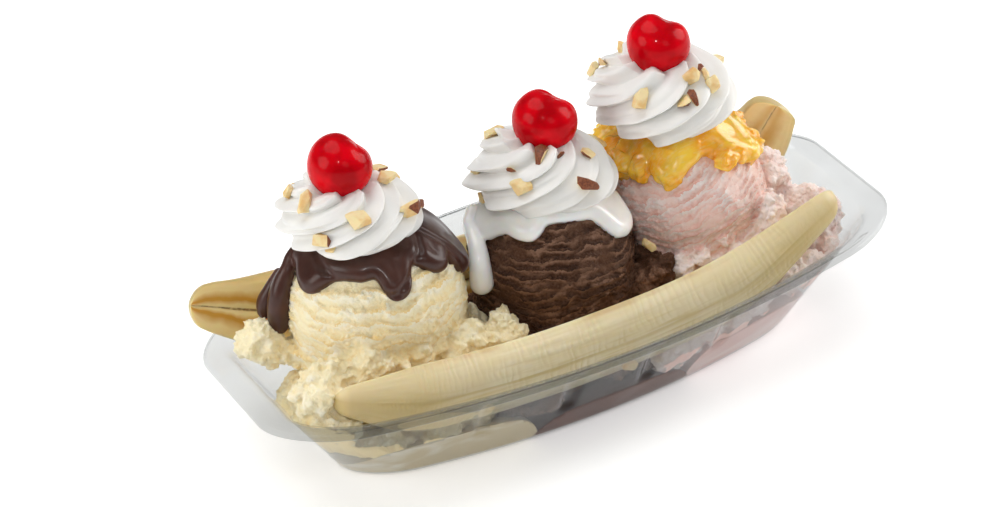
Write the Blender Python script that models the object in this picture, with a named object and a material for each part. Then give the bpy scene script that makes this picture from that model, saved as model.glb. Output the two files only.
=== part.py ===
"""Banana split in a clear boat-shaped dish.

Two banana halves lean on the long walls of the dish, with three scoops of ice cream between
them.  Each scoop carries a sauce or fruit, a piped swirl of cream and a cherry.

The frame: origin at the centre of the dish's underside, X along the dish, +Z up.
Lengths are in metres.
"""
import math
import random

import bmesh
import bpy
from mathutils import Matrix, Vector, noise

MM = 0.001
GAP = 0.3 * MM            # clearance between pieces that touch

# ---- dish -----------------------------------------------------------------------------------
DISH_LENGTH = 230.0 * MM
DISH_WIDTH = 111.5 * MM
DISH_HEIGHT = 38.9 * MM
WALL = 0.8 * MM
LIP_DROP = 1.8 * MM
# An outline is (length, width, corner radius, bow): the long sides bulge by the bow, so the
# width is reached only half way along.
RIM = (DISH_LENGTH, DISH_WIDTH, 27 * MM, 18.2 * MM)
MOUTH = (211.5 * MM, 104.1 * MM, 20 * MM, 18.8 * MM)
FLOOR = (165.8 * MM, 57.4 * MM, 19 * MM, 12.3 * MM)
SIDE_STEPS = 8
CORNER_STEPS = 4
END_STEPS = 2
FLOOR_CREASE = 1.8 * MM   # how far the floor's edge rounding reaches inwards

# ---- banana halves --------------------------------------------------------------------------
BANANA_RADIUS = 14.5 * MM
BANANA_ARC_STEPS = 9
BANANA_STATIONS = 15
BANANA_EDGES = 0.012      # how far the skinless outside is still five-sided
SEAM_DEPTH = 0.7 * MM     # groove along the middle of the cut face
# places in mm along the middle of the cut face, the way that the face looks, and how blunt
# the left and the right end are
FRONT_BANANA = (
    ((-92.5, -29, 44.5), (-60, -29, 36.5), (-10, -28, 32), (45, -28, 35), (92, -27, 50)),
    (0, 0.87, 0.49), 0.42, 0.50,
)
BACK_BANANA = (
    ((-112, 33, 53), (-75, 32, 38), (-10, 30, 27), (52, 29, 33), (87, 23, 43), (99, 18, 59)),
    (0, -0.94, 0.35), 0.50, 0.62,
)

# ---- ice cream ------------------------------------------------------------------------------
# centre and radius of each ball
VANILLA = (Vector((-60.2, 4.0, 51.5)) * MM, 29.0 * MM)
CHOCOLATE = (Vector((1.7, 1.0, 46.5)) * MM, 27.0 * MM)
STRAWBERRY = (Vector((54.0, 2.0, 49.0)) * MM, 25.5 * MM)
PRESS = 8 * MM            # the balls are pressed down into a dome in steps this deep
BALL_WOBBLE = 0.5 * MM    # unevenness of a ball
SCOOP_VOXEL = 1.5 * MM
SAUCE_VOXEL = 0.9 * MM

# ---- pools and sauces -----------------------------------------------------------------------
# left end, right end, level, and how much higher it stands at the near wall, in mm
MELT_VANILLA = (-86, -28, 13, 8)
SAUCE_POOL = (-24, 30, 10, 6)
MELT_STRAWBERRY = (34, 86, 14, 8)
POOL_COLUMNS = 7
POOL_ROWS = 5
SAUCE_DEPTH = 2.4 * MM    # thickness of what is poured over a ball
CAP_RINGS = 6
CAP_STEPS = 28
DRIP_STEPS = 7

# ---- cream swirls ---------------------------------------------------------------------------
PLEATS = 8
PLEAT_TWIST = math.radians(150)    # how far round a pleat winds from the base to the top
PLEAT_DEPTH = 0.085                # as a part of the radius
PLEAT_STEPS = 4
CREAM_ROWS = 5
# base in mm, radius and height in mm, first pleat in degrees, how high the widest part is,
# and how far in mm the top leans along X
CREAM_LEFT = ((-64.5, 6, 77), 22.3, 20.0, 20, 0.30, -1)
CREAM_MIDDLE = ((2.5, 4, 63), 24.2, 27.0, 65, 0.20, 1)
CREAM_RIGHT = ((50, 7, 76), 22.8, 25.5, 40, 0.40, -1)

# ---- cherries -------------------------------------------------------------------------------
CHERRY_RADIUS = 10.4 * MM
CHERRY_STEPS = 14
CHERRY_ROWS = 9
CHERRY_FLATNESS = 0.95
CHERRY_DIMPLE = 0.20      # depth of the stalk's dimple, as a part of the radius
# centre in mm, the way that the dimple leans, and a turn about it
CHERRY_LEFT = ((-66.2, 6, 102.5), (0.3, 0.1, 0), 0.5)
CHERRY_MIDDLE = ((5.1, 4, 93.6), (0.35, 0.1, 0), 1.0)
CHERRY_RIGHT = ((49.2, 6, 107.5), (0.15, 0.1, 0), 0.2)

COLOURS = {
    "clear_plastic": ((0.80, 0.82, 0.84), 0.10),
    "banana_flesh": ((0.86, 0.76, 0.50), 0.55),
    "vanilla_ice": ((0.95, 0.86, 0.62), 0.60),
    "chocolate_ice": ((0.10, 0.045, 0.025), 0.70),
    "strawberry_ice": ((0.86, 0.52, 0.47), 0.60),
    "chocolate_sauce": ((0.055, 0.020, 0.013), 0.25),
    "marshmallow_sauce": ((0.90, 0.90, 0.88), 0.20),
    "pineapple": ((0.92, 0.55, 0.08), 0.20),
    "whipped_cream": ((0.94, 0.94, 0.93), 0.45),
    "cherry": ((0.62, 0.008, 0.012), 0.12),
}


# ---- general helpers ------------------------------------------------------------------------
def clear_scene():
    """Remove every object, so that the script gives the same result each time."""
    for thing in list(bpy.data.objects):
        bpy.data.objects.remove(thing, do_unlink=True)


def material(name):
    """The named material, made the first time that it is asked for."""
    found = bpy.data.materials.get(name)
    if found:
        return found
    colour, roughness = COLOURS[name]
    made = bpy.data.materials.new(name)
    made.use_nodes = True
    shader = made.node_tree.nodes["Principled BSDF"]
    shader.inputs["Base Color"].default_value = (*colour, 1.0)
    shader.inputs["Roughness"].default_value = roughness
    shader.inputs["Metallic"].default_value = 0.0
    return made


def object_from(bm, name, look=None):
    """Turn a bmesh into an object with outward faces and its material."""
    bmesh.ops.recalc_face_normals(bm, faces=bm.faces)
    mesh = bpy.data.meshes.new(name)
    bm.to_mesh(mesh)
    bm.free()
    made = bpy.data.objects.new(name, mesh)
    bpy.context.scene.collection.objects.link(made)
    if look:
        mesh.materials.append(material(look))
    return made


def guide(made):
    """Mark a cutter, which isn't part of the object."""
    made.hide_render = True
    made.display_type = 'WIRE'
    return made


def apply_modifiers(made):
    """Bake the modifiers of an object into its mesh."""
    graph = bpy.context.evaluated_depsgraph_get()
    baked = bpy.data.meshes.new_from_object(made.evaluated_get(graph))
    made.modifiers.clear()
    made.data = baked


def triangle_count(mesh):
    """How many triangles the faces of a mesh make."""
    return sum(len(face.vertices) - 2 for face in mesh.polygons)


def skin_rings(bm, rings):
    """Join closed rings of points, in order, and cap the first and the last."""
    loops = [[bm.verts.new(point) for point in ring] for ring in rings]
    count = len(loops[0])
    for low, high in zip(loops, loops[1:]):
        for i in range(count):
            j = (i + 1) % count
            bm.faces.new((low[i], low[j], high[j], high[i]))
    bm.faces.new(loops[0])
    bm.faces.new(loops[-1])


def mm(x, y, z):
    """A place given in millimetres."""
    return Vector((x, y, z)) * MM


def smooth_step(low, high, value):
    """0 below low, 1 above high, and a smooth rise between."""
    t = min(max((value - low) / (high - low), 0.0), 1.0)
    return t * t * (3.0 - 2.0 * t)


# ---- joining and cutting --------------------------------------------------------------------
def fuse(made, voxel, smoothing, triangles):
    """Weld overlapping lumps into one skin and thin it to a number of triangles."""
    remesh = made.modifiers.new("Weld lumps", 'REMESH')
    remesh.mode = 'VOXEL'
    remesh.voxel_size = voxel
    soften = made.modifiers.new("Soften", 'SMOOTH')
    soften.factor = 0.5
    soften.iterations = smoothing
    apply_modifiers(made)
    thin = made.modifiers.new("Thin", 'DECIMATE')
    thin.ratio = min(1.0, triangles / triangle_count(made.data))
    apply_modifiers(made)


def grown_copy(made, gap):
    """A cutter: the same shape, larger by a gap all round."""
    bm = bmesh.new()
    bm.from_mesh(made.data)
    bmesh.ops.triangulate(bm, faces=bm.faces)
    bm.normal_update()
    moves = [(vert, vert.normal * gap * min(vert.calc_shell_factor(), 2.0)) for vert in bm.verts]
    for vert, move in moves:
        vert.co += move
    return guide(object_from(bm, made.name + ".cutter"))


def box_volume(body):
    """The volume of the box round a group of vertices."""
    corners = [[vert.co[axis] for vert in body] for axis in range(3)]
    return math.prod(max(values) - min(values) for values in corners)


def keep_largest(made):
    """Drop every loose crumb that a cut leaves."""
    bm = bmesh.new()
    bm.from_mesh(made.data)
    bmesh.ops.triangulate(bm, faces=bm.faces)
    bmesh.ops.dissolve_degenerate(bm, dist=0.02 * MM, edges=bm.edges)
    left = set(bm.verts)
    bodies = []
    while left:
        body = set()
        front = {next(iter(left))}
        while front:
            body |= front
            front = {edge.other_vert(v) for v in front for edge in v.link_edges} - body
        left -= body
        bodies.append(body)
    bodies.sort(key=box_volume)
    crumbs = [vert for body in bodies[:-1] for vert in body]
    bmesh.ops.delete(bm, geom=crumbs, context='VERTS')
    bm.to_mesh(made.data)
    bm.free()


def cut(made, *cutters, solver='EXACT'):
    """Take away each cutter in turn."""
    for cutter in cutters:
        modifier = made.modifiers.new("Cut", 'BOOLEAN')
        modifier.operation = 'DIFFERENCE'
        modifier.solver = solver
        modifier.object = cutter
        apply_modifiers(made)
        keep_largest(made)


# ---- dish -----------------------------------------------------------------------------------
def outline(size, z, grow=0.0):
    """Points of a bowed rounded rectangle at height z, grown sideways by grow."""
    length, width, corner, bow = size
    half_x = length / 2 + grow
    half_y = width / 2 + grow
    radius = max(corner + grow, MM)
    quarter_turn = math.pi / 2
    points = []
    for side in range(4):
        along_x = side % 2 == 0
        straight = (half_x if along_x else half_y) - radius
        heading = side * quarter_turn
        ahead = Vector((math.cos(heading), math.sin(heading)))
        out = Vector((math.sin(heading), -math.cos(heading)))
        reach = half_y if along_x else half_x
        count = SIDE_STEPS if along_x else END_STEPS
        for i in range(count):
            points.append(ahead * straight * (2 * i / count - 1) + out * reach)
        centre = ahead * straight + out * (reach - radius)
        for i in range(CORNER_STEPS):
            angle = quarter_turn * i / CORNER_STEPS
            points.append(centre + (out * math.cos(angle) + ahead * math.sin(angle)) * radius)
    bowed = []
    for point in points:
        y = point.y * (1 - bow / half_y * (point.x / half_x) ** 2)
        bowed.append(Vector((point.x, y, z)))
    return bowed


def blend(low, high, share):
    """An outline's sizes part of the way from one to another."""
    return tuple(a + (b - a) * share for a, b in zip(low, high))


def wall_outline(height, grow=0.0):
    """The dish's inner wall at a height above its floor."""
    return outline(blend(FLOOR, MOUTH, height / DISH_HEIGHT), height, grow)


def make_dish():
    """A thin vacuum-formed boat with a flat flange and a turned-down lip."""
    top = DISH_HEIGHT
    under = top - WALL
    rings = [
        outline(FLOOR, 0.0, -1.4 * MM),
        outline(FLOOR, 0.5 * MM, WALL - 0.5 * MM),
        wall_outline(top * 0.50, WALL),
        outline(MOUTH, under - 0.6 * MM, WALL * 0.9),
        outline(MOUTH, under, 1.4 * MM),
        outline(RIM, under, -1.5 * MM),
        outline(RIM, top - LIP_DROP, -0.9 * MM),
        outline(RIM, top - LIP_DROP, 0.0),
        outline(RIM, top - 0.4 * MM, -0.1 * MM),
        outline(RIM, top, -0.8 * MM),
        outline(MOUTH, top, 0.9 * MM),
        outline(MOUTH, top - 0.8 * MM, 0.0),
        wall_outline(top * 0.50),
        outline(FLOOR, WALL + 0.6 * MM, -0.2 * MM),
        outline(FLOOR, WALL, -FLOOR_CREASE),
    ]
    bm = bmesh.new()
    skin_rings(bm, rings)
    return object_from(bm, "dish", "clear_plastic")


def make_mould():
    """A block with the dish's hollow in it, a gap smaller, which trims what lies in the dish."""
    top = DISH_HEIGHT + GAP
    block = (DISH_LENGTH * 1.5, DISH_WIDTH * 1.8, 10 * MM, 0.0)
    slope_gap = -GAP * 1.3
    rings = [
        outline(block, -12 * MM),
        outline(block, top),
        outline(MOUTH, top, 0.9 * MM),
        outline(MOUTH, DISH_HEIGHT - 0.8 * MM, slope_gap),
        wall_outline(DISH_HEIGHT * 0.50, slope_gap),
        outline(FLOOR, WALL + 0.6 * MM + GAP, -0.2 * MM - GAP),
        outline(FLOOR, WALL + GAP, -FLOOR_CREASE - GAP),
    ]
    bm = bmesh.new()
    skin_rings(bm, rings)
    return guide(object_from(bm, "mould"))


# ---- bananas --------------------------------------------------------------------------------
def curve_through(anchors, share):
    """A point on a smooth curve through a few anchors, share running from 0 to 1."""
    last = len(anchors) - 1
    place = min(max(share, 0.0), 1.0) * last
    i = min(int(place), last - 1)
    t = place - i
    a, b = anchors[i], anchors[i + 1]
    before = anchors[i - 1] if i > 0 else a * 2 - b
    after = anchors[i + 2] if i + 2 <= last else b * 2 - a
    slope_a = (b - before) / 2
    slope_b = (after - a) / 2
    return (a * (2 * t ** 3 - 3 * t ** 2 + 1) + slope_a * (t ** 3 - 2 * t ** 2 + t)
            + b * (3 * t ** 2 - 2 * t ** 3) + slope_b * (t ** 3 - t ** 2))


def banana_profile(share, left_tip, right_tip):
    """Radius along a banana half as a part of the full radius: blunt at both ends."""
    from_left = smooth_step(-0.02, 0.24, share)
    from_right = smooth_step(-0.02, 0.26, 1.0 - share)
    left = left_tip + (1.0 - left_tip) * from_left
    right = right_tip + (1.0 - right_tip) * from_right
    return min(left, right) * (0.96 + 0.04 * math.sin(share * math.pi))


def banana_section(centre, along, face, radius):
    """A half-disc: flat on the cut face, gently angular on the outside."""
    up = along.cross(face).normalized()
    flat = up.cross(along).normalized()
    if flat.dot(face) < 0:
        flat = -flat
    points = []
    for i in range(BANANA_ARC_STEPS + 1):
        angle = math.pi * i / BANANA_ARC_STEPS
        swell = 1.0 + BANANA_EDGES * math.cos(5 * (angle - math.pi / 2))
        away = up * math.cos(angle) - flat * math.sin(angle) * 0.96
        points.append(centre + away * radius * swell)
    groove = min(SEAM_DEPTH, radius * 0.2)
    points.append(centre - up * radius * 0.10)
    points.append(centre - flat * groove)
    points.append(centre + up * radius * 0.10)
    return points


def make_banana(name, places, face, left_tip, right_tip):
    """Sweep the half-disc along the banana's bend and round its two ends."""
    anchors = [mm(*place) for place in places]
    rings = []
    for i in range(BANANA_STATIONS):
        share = 0.5 - 0.5 * math.cos(math.pi * i / (BANANA_STATIONS - 1))
        centre = curve_through(anchors, share)
        ahead = curve_through(anchors, min(share + 0.02, 1.0))
        behind = curve_through(anchors, max(share - 0.02, 0.0))
        along = (ahead - behind).normalized()
        radius = BANANA_RADIUS * banana_profile(share, left_tip, right_tip)
        end = min(share, 1.0 - share)
        radius *= 0.55 + 0.45 * smooth_step(-0.01, 0.03, end)
        rings.append(banana_section(centre, along, Vector(face), radius))
    bm = bmesh.new()
    skin_rings(bm, rings)
    return object_from(bm, name, "banana_flesh")


# ---- lumps ----------------------------------------------------------------------------------
def add_lump(bm, centre, size, wobble=0.0, seed=0, detail=2):
    """An uneven ball, pushed in and out by noise; size is a radius or three of them."""
    radii = Matrix.Diagonal((size, size, size) if isinstance(size, float) else size)
    made = bmesh.ops.create_icosphere(bm, subdivisions=detail, radius=1.0)
    for vert in made["verts"]:
        push = noise.noise(vert.co * 1.7 + Vector((seed * 3.1, seed * 1.7, seed * 0.9)))
        scale = 1.0 + wobble * push
        vert.co = centre + radii @ vert.co * scale


def add_trail(bm, start, end, size, count, seed, scatter=0.35):
    """Crumbly lumps strung unevenly from one place to another."""
    rng = random.Random(seed)
    for i in range(count):
        place = start.lerp(end, i / max(count - 1, 1))
        shift = Vector([rng.uniform(-1, 1) for _ in range(3)]) * size * scatter
        add_lump(bm, place + shift, size * rng.uniform(0.75, 1.2), 0.35, seed + i)


# ---- scoops ---------------------------------------------------------------------------------
def scoop_mesh(name, look, ball, foot_radius, trails, triangles, seed):
    """A scooped ball on the broken foot that it was pressed down on."""
    centre, radius = ball
    bm = bmesh.new()
    for step in range(4):
        sunk = centre - Vector((0, 0, PRESS * step))
        add_lump(bm, sunk, radius * (1.0 - 0.012 * step), BALL_WOBBLE / radius, seed, 3)
    foot = Vector((centre.x, 0.0, 10 * MM))
    add_lump(bm, foot, (foot_radius, foot_radius, 12 * MM), 0.1, seed + 2)
    for number, (start, end, size, count) in enumerate(trails):
        add_trail(bm, mm(*start), mm(*end), size * MM, count, seed * 10 + number)
    made = object_from(bm, name, look)
    fuse(made, SCOOP_VOXEL, 3, triangles)
    return made


def make_vanilla():
    """Vanilla, with crumbs round the near banana's end and over its top edge."""
    trails = [
        ((-97, -17, 22), (-95, -20, 45), 7.0, 4),
        ((-97, -24, 33), (-86, -26, 30), 6.5, 3),
        ((-88, -17, 44), (-60, -21, 44), 6.0, 6),
        ((-58, -21, 43), (-28, -20, 38), 6.0, 6),
        ((-97, 12, 36), (-93, 14, 45), 6.5, 3),
        ((-88, 0, 20), (-82, -10, 30), 9.0, 3),
        ((-36, -12, 34), (-32, 6, 30), 6.5, 3),
    ]
    return scoop_mesh("scoop_vanilla", "vanilla_ice", VANILLA, 23 * MM, trails, 570, 3)


def make_chocolate():
    """Chocolate, with a rough ridge pressed along the near banana."""
    trails = [
        ((-24, -18, 30), (14, -19, 33), 7.0, 7),
        ((12, -17, 34), (34, -18, 38), 6.5, 5),
        ((26, -12, 34), (32, -6, 40), 6.0, 3),
        ((-16, 12, 26), (20, 14, 28), 7.0, 4),
    ]
    return scoop_mesh("scoop_chocolate", "chocolate_ice", CHOCOLATE, 22 * MM, trails, 480, 5)


def make_strawberry():
    """Strawberry, squeezed out towards the far end and along the near banana."""
    trails = [
        ((38, -18, 38), (74, -20, 44), 6.0, 7),
        ((80, 8, 44), (84, 3, 50), 8.0, 3),
        ((84, -8, 34), (92, -14, 38), 7.5, 4),
        ((92, -18, 28), (98, -12, 34), 6.5, 4),
        ((78, -6, 22), (88, 6, 28), 9.0, 3),
    ]
    return scoop_mesh("scoop_strawberry", "strawberry_ice", STRAWBERRY, 22 * MM, trails, 520, 7)


# ---- pools ----------------------------------------------------------------------------------
def pool_height(i, j, level, rise, seed):
    """The height in mm of a pool's surface at a place of its grid: thin at the two ends."""
    edge = 1.0 - abs(2 * i / (POOL_COLUMNS - 1) - 1) ** 3
    near = 0.5 - j / (POOL_ROWS - 1)
    swell = noise.noise(Vector((i * 0.6, j * 1.1, seed)))
    return level * (0.35 + 0.65 * edge) + rise * edge * near + swell


def make_pool(name, look, sizes, seed):
    """A melted layer on the dish's floor, a little higher where it climbs the near wall."""
    left, right, level, rise = sizes
    bm = bmesh.new()
    top = {}
    under = {}
    for i in range(POOL_COLUMNS):
        for j in range(POOL_ROWS):
            x = left + (right - left) * i / (POOL_COLUMNS - 1)
            y = -50 + 100 * j / (POOL_ROWS - 1)
            top[i, j] = bm.verts.new(mm(x, y, pool_height(i, j, level, rise, seed)))
            under[i, j] = bm.verts.new(mm(x, y, -4))
    for i in range(POOL_COLUMNS - 1):
        for j in range(POOL_ROWS - 1):
            corners = [(i, j), (i + 1, j), (i + 1, j + 1), (i, j + 1)]
            bm.faces.new([top[corner] for corner in corners])
            bm.faces.new([under[corner] for corner in reversed(corners)])
    border = [(i, 0) for i in range(POOL_COLUMNS)]
    border += [(POOL_COLUMNS - 1, j) for j in range(1, POOL_ROWS)]
    border += [(i, POOL_ROWS - 1) for i in range(POOL_COLUMNS - 2, -1, -1)]
    border += [(0, j) for j in range(POOL_ROWS - 2, 0, -1)]
    for here, there in zip(border, border[1:] + border[:1]):
        bm.faces.new((top[here], under[here], under[there], top[there]))
    return object_from(bm, name, look)


# ---- sauces ---------------------------------------------------------------------------------
def cap_point(angle, polar):
    """The way to a place on a ball, from its angle round and its angle from straight up."""
    around = math.sin(polar)
    return Vector((around * math.cos(angle), around * math.sin(angle), math.cos(polar)))


def add_cap(bm, ball, edge, lean):
    """A cap of sauce over the top of a ball, down to an uneven edge at an angle in degrees."""
    centre, radius = ball
    axis = (Vector((0, 0, 1)) + lean).normalized()
    pose = Vector((0, 0, 1)).rotation_difference(axis)
    shares = [k / CAP_RINGS for k in range(1, CAP_RINGS + 1)]
    rows = [(share, SAUCE_DEPTH * math.sqrt(1.0 - share ** 4)) for share in shares]
    rows += [(share, -SAUCE_DEPTH) for share in reversed(shares[:-1])]
    loops = []
    for share, off in rows:
        ring = []
        for i in range(CAP_STEPS):
            angle = 2 * math.pi * i / CAP_STEPS
            uneven = 1.0 + 0.07 * math.sin(3 * angle + 1) + 0.05 * math.sin(5 * angle)
            way = cap_point(angle, math.radians(edge) * share * uneven)
            ring.append(centre + pose @ (way * (radius + off)))
        loops.append(ring)
    skin_rings(bm, loops)


def surface_point(ball, azimuth, polar, off=0.0):
    """A point on or off a ball, from its azimuth and its angle from straight up, in degrees."""
    centre, radius = ball
    return centre + cap_point(math.radians(azimuth), math.radians(polar)) * (radius + off)


def add_drip(bm, ball, azimuth, top, bottom, width, bulb, off=0.0, drift=0.0):
    """A run of sauce down a ball that ends in a rounded drop."""
    for i in range(DRIP_STEPS + 1):
        share = i / DRIP_STEPS
        polar = top + (bottom - top) * share
        size = (width + (bulb - width) * share ** 2) * MM
        add_lump(bm, surface_point(ball, azimuth + drift * share, polar, off * MM), size)


def make_seat(ball, off):
    """A smooth ball that hollows the underside of what lies on a scoop."""
    centre, radius = ball
    bm = bmesh.new()
    add_lump(bm, centre, radius + off, detail=3)
    return guide(object_from(bm, "seat"))


def make_sauce_chocolate():
    """Thick dark sauce over the vanilla, with long and short drips."""
    bm = bmesh.new()
    add_cap(bm, VANILLA, 44, Vector((-0.05, 0.05, 0)))
    add_drip(bm, VANILLA, -94, 38, 58, 3.4, 4.0, 0.0, 3)
    add_drip(bm, VANILLA, -176, 42, 60, 4.2, 4.4, 0.3, 6)
    add_drip(bm, VANILLA, -136, 38, 46, 4.0, 4.0, 0.0)
    add_drip(bm, VANILLA, -28, 40, 58, 4.4, 4.8, 0.2, 2)
    add_drip(bm, VANILLA, -12, 44, 82, 4.6, 4.6, 1.2, -8)
    add_drip(bm, VANILLA, 2, 48, 62, 4.2, 4.2, 3.0, 4)
    add_drip(bm, VANILLA, 150, 46, 98, 4.4, 4.8, 3.4, 10)
    made = object_from(bm, "sauce_chocolate", "chocolate_sauce")
    fuse(made, SAUCE_VOXEL, 2, 400)
    return made


def make_sauce_marshmallow():
    """Thin white sauce over the chocolate, with one long tear at the left."""
    bm = bmesh.new()
    add_cap(bm, CHOCOLATE, 42, Vector((-0.05, 0.08, 0)))
    add_drip(bm, CHOCOLATE, -172, 44, 94, 3.0, 4.0, 0.8, 2)
    add_drip(bm, CHOCOLATE, -142, 34, 45, 5.0, 5.4, -0.6)
    add_drip(bm, CHOCOLATE, -40, 38, 66, 3.6, 4.4, 0.3)
    add_drip(bm, CHOCOLATE, 160, 40, 60, 4.0, 4.4, 0.3)
    made = object_from(bm, "sauce_marshmallow", "marshmallow_sauce")
    fuse(made, SAUCE_VOXEL, 2, 340)
    return made


def make_pineapple():
    """Chunks of crushed pineapple in syrup over the strawberry."""
    bm = bmesh.new()
    add_cap(bm, STRAWBERRY, 38, Vector((-0.1, 0.06, 0)))
    add_drip(bm, STRAWBERRY, 170, 44, 64, 7.5, 6.5, 2.5)
    add_drip(bm, STRAWBERRY, 150, 44, 60, 7.0, 6.5, 6.5)
    add_drip(bm, STRAWBERRY, -142, 36, 48, 6.0, 5.4, 0.6)
    add_drip(bm, STRAWBERRY, -30, 38, 50, 6.0, 6.0, 1.0)
    add_drip(bm, STRAWBERRY, -4, 40, 56, 7.0, 6.0, 3.0)
    add_drip(bm, STRAWBERRY, 80, 36, 46, 6.0, 5.4, 1.0)
    made = object_from(bm, "topping_pineapple", "pineapple")
    fuse(made, SAUCE_VOXEL, 2, 360)
    return made


# ---- cream ----------------------------------------------------------------------------------
def pleat(turn):
    """A fold that runs between -1 and 1, with nearly sharp crests and valleys."""
    return math.asin(0.92 * math.sin(turn)) / math.asin(0.92)


def cream_point(radius, height, start, widest, share, angle):
    """A point on a piped rosette: a dome of pleats that wind upwards to the right."""
    if share < widest:
        belly = 1.0 - 0.16 * (1.0 - share / widest) ** 2
    else:
        belly = math.cos(1.22 * (share - widest) / (1.0 - widest)) ** 0.85
    fold = pleat(PLEATS * angle) * (1.0 + 0.2 * math.sin(2.0 * angle + start))
    around = angle + PLEAT_TWIST * share + start
    reach = radius * belly * (1.0 + PLEAT_DEPTH * fold * (1.0 - 0.3 * share))
    drop = PLEAT_DEPTH * radius * 0.5 * fold * (1.0 - share)
    return Vector((math.cos(around) * reach, math.sin(around) * reach, height * share - drop))


def make_cream(name, place, radius, height, start, widest, lean):
    """Cream piped from a star nozzle in one turn of the hand."""
    rings = []
    for k in range(CREAM_ROWS + 1):
        share = math.sin(0.5 * math.pi * k / CREAM_ROWS)
        ring = []
        for i in range(PLEATS * PLEAT_STEPS):
            angle = 2 * math.pi * i / (PLEATS * PLEAT_STEPS)
            point = cream_point(radius, height, math.radians(start), widest, share, angle)
            ring.append((Vector(place) + Vector((lean * share, 0, 0)) + point) * MM)
        rings.append(ring)
    bm = bmesh.new()
    skin_rings(bm, rings)
    return object_from(bm, name, "whipped_cream")


# ---- cherries -------------------------------------------------------------------------------
def make_cherry(name, place, lean, turn):
    """A stoned cherry: round, with a dimple where the stalk was."""
    axis = (Vector((0, 0, 1)) + Vector(lean)).normalized()
    pose = Vector((0, 0, 1)).rotation_difference(axis).to_matrix() @ Matrix.Rotation(turn, 3, 'Z')
    rings = []
    for k in range(CHERRY_ROWS):
        polar = math.pi * (k + 0.35) / (CHERRY_ROWS - 0.3)
        dimple = 1.0 - CHERRY_DIMPLE * math.exp(-(polar / 0.42) ** 2)
        ring = []
        for i in range(CHERRY_STEPS):
            angle = 2 * math.pi * i / CHERRY_STEPS
            lobe = 1.0 + 0.035 * math.cos(2 * angle) * math.sin(polar)
            way = cap_point(angle, polar)
            way.z *= CHERRY_FLATNESS
            ring.append(mm(*place) + pose @ way * CHERRY_RADIUS * dimple * lobe)
        rings.append(ring)
    bm = bmesh.new()
    skin_rings(bm, rings)
    return object_from(bm, name, "cherry")


# ---- putting it together --------------------------------------------------------------------
def main():
    """Make each piece in turn, cut clear of the pieces that it rests on."""
    clear_scene()
    make_dish()
    mould = make_mould()

    front = make_banana("banana_front", *FRONT_BANANA)
    back = make_banana("banana_back", *BACK_BANANA)
    cut(front, mould)
    cut(back, mould)
    below = [mould, grown_copy(front, GAP), grown_copy(back, GAP)]

    pools = [
        make_pool("melt_vanilla", "vanilla_ice", MELT_VANILLA, 1),
        make_pool("sauce_pool", "chocolate_sauce", SAUCE_POOL, 2),
        make_pool("melt_strawberry", "strawberry_ice", MELT_STRAWBERRY, 3),
    ]
    for pool in pools:
        cut(pool, *below)
    below += [grown_copy(pool, GAP) for pool in pools]

    scoops = []
    for scoop in (make_vanilla(), make_chocolate(), make_strawberry()):
        cut(scoop, *below, *scoops[-1:])
        scoops.append(grown_copy(scoop, GAP))

    toppings = []
    balls = (VANILLA, CHOCOLATE, STRAWBERRY)
    poured = (make_sauce_chocolate(), make_sauce_marshmallow(), make_pineapple())
    for topping, ball in zip(poured, balls):
        cut(topping, make_seat(ball, BALL_WOBBLE + GAP), *scoops, *toppings[-1:])
        toppings.append(grown_copy(topping, GAP))

    cherries = [
        make_cherry("cherry_left", *CHERRY_LEFT),
        make_cherry("cherry_middle", *CHERRY_MIDDLE),
        make_cherry("cherry_right", *CHERRY_RIGHT),
    ]
    creams = [
        make_cream("cream_left", *CREAM_LEFT),
        make_cream("cream_middle", *CREAM_MIDDLE),
        make_cream("cream_right", *CREAM_RIGHT),
    ]
    for cream, ball, cherry in zip(creams, balls, cherries):
        cut(cream, make_seat(ball, SAUCE_DEPTH + 4 * GAP), grown_copy(cherry, GAP))
        cut(cream, *toppings, solver='MANIFOLD')


main()
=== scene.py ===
"""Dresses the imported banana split: fine surfaces and materials over its fixed solids.

Lengths inside the makers are in millimetres, and mesh_object turns them into metres.
"""
import math
import random

import bmesh
import bpy
import numpy as np
from bpy.props import FloatProperty, FloatVectorProperty, IntProperty, PointerProperty
from mathutils import Matrix, Vector, noise
from mathutils.bvhtree import BVHTree


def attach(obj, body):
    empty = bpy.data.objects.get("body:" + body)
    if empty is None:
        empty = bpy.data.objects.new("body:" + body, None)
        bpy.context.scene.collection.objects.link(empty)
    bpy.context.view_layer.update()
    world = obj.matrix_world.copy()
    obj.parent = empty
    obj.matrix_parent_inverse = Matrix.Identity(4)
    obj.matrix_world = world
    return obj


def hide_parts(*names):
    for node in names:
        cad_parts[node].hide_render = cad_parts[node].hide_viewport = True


bl_info = {
    "name": "Banana split dresser",
    "version": (1, 0, 0),
    "blender": (4, 5, 0),
    "location": "3D View > Sidebar > Split",
    "description": "Dresses a banana split with ice cream, sauces, fruit, piped cream and nuts",
    "category": "Object",
}

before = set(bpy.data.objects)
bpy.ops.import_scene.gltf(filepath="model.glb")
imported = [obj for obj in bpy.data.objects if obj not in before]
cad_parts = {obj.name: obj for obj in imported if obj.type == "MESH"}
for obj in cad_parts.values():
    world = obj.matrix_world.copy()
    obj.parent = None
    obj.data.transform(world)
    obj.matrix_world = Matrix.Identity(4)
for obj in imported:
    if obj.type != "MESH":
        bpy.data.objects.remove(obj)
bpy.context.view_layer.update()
MM = 0.001

# ---- places, in mm --------------------------------------------------------------------------
# An outline is (length, width, corner radius, bow): the long sides bulge by the bow.
RIM = (230.0, 111.5, 27.0, 18.2)
MOUTH = (211.5, 104.1, 20.0, 18.8)
FLOOR = (165.8, 57.4, 19.0, 12.3)
DISH_HEIGHT = 38.9
FLOOR_LEVEL = 0.8
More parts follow.
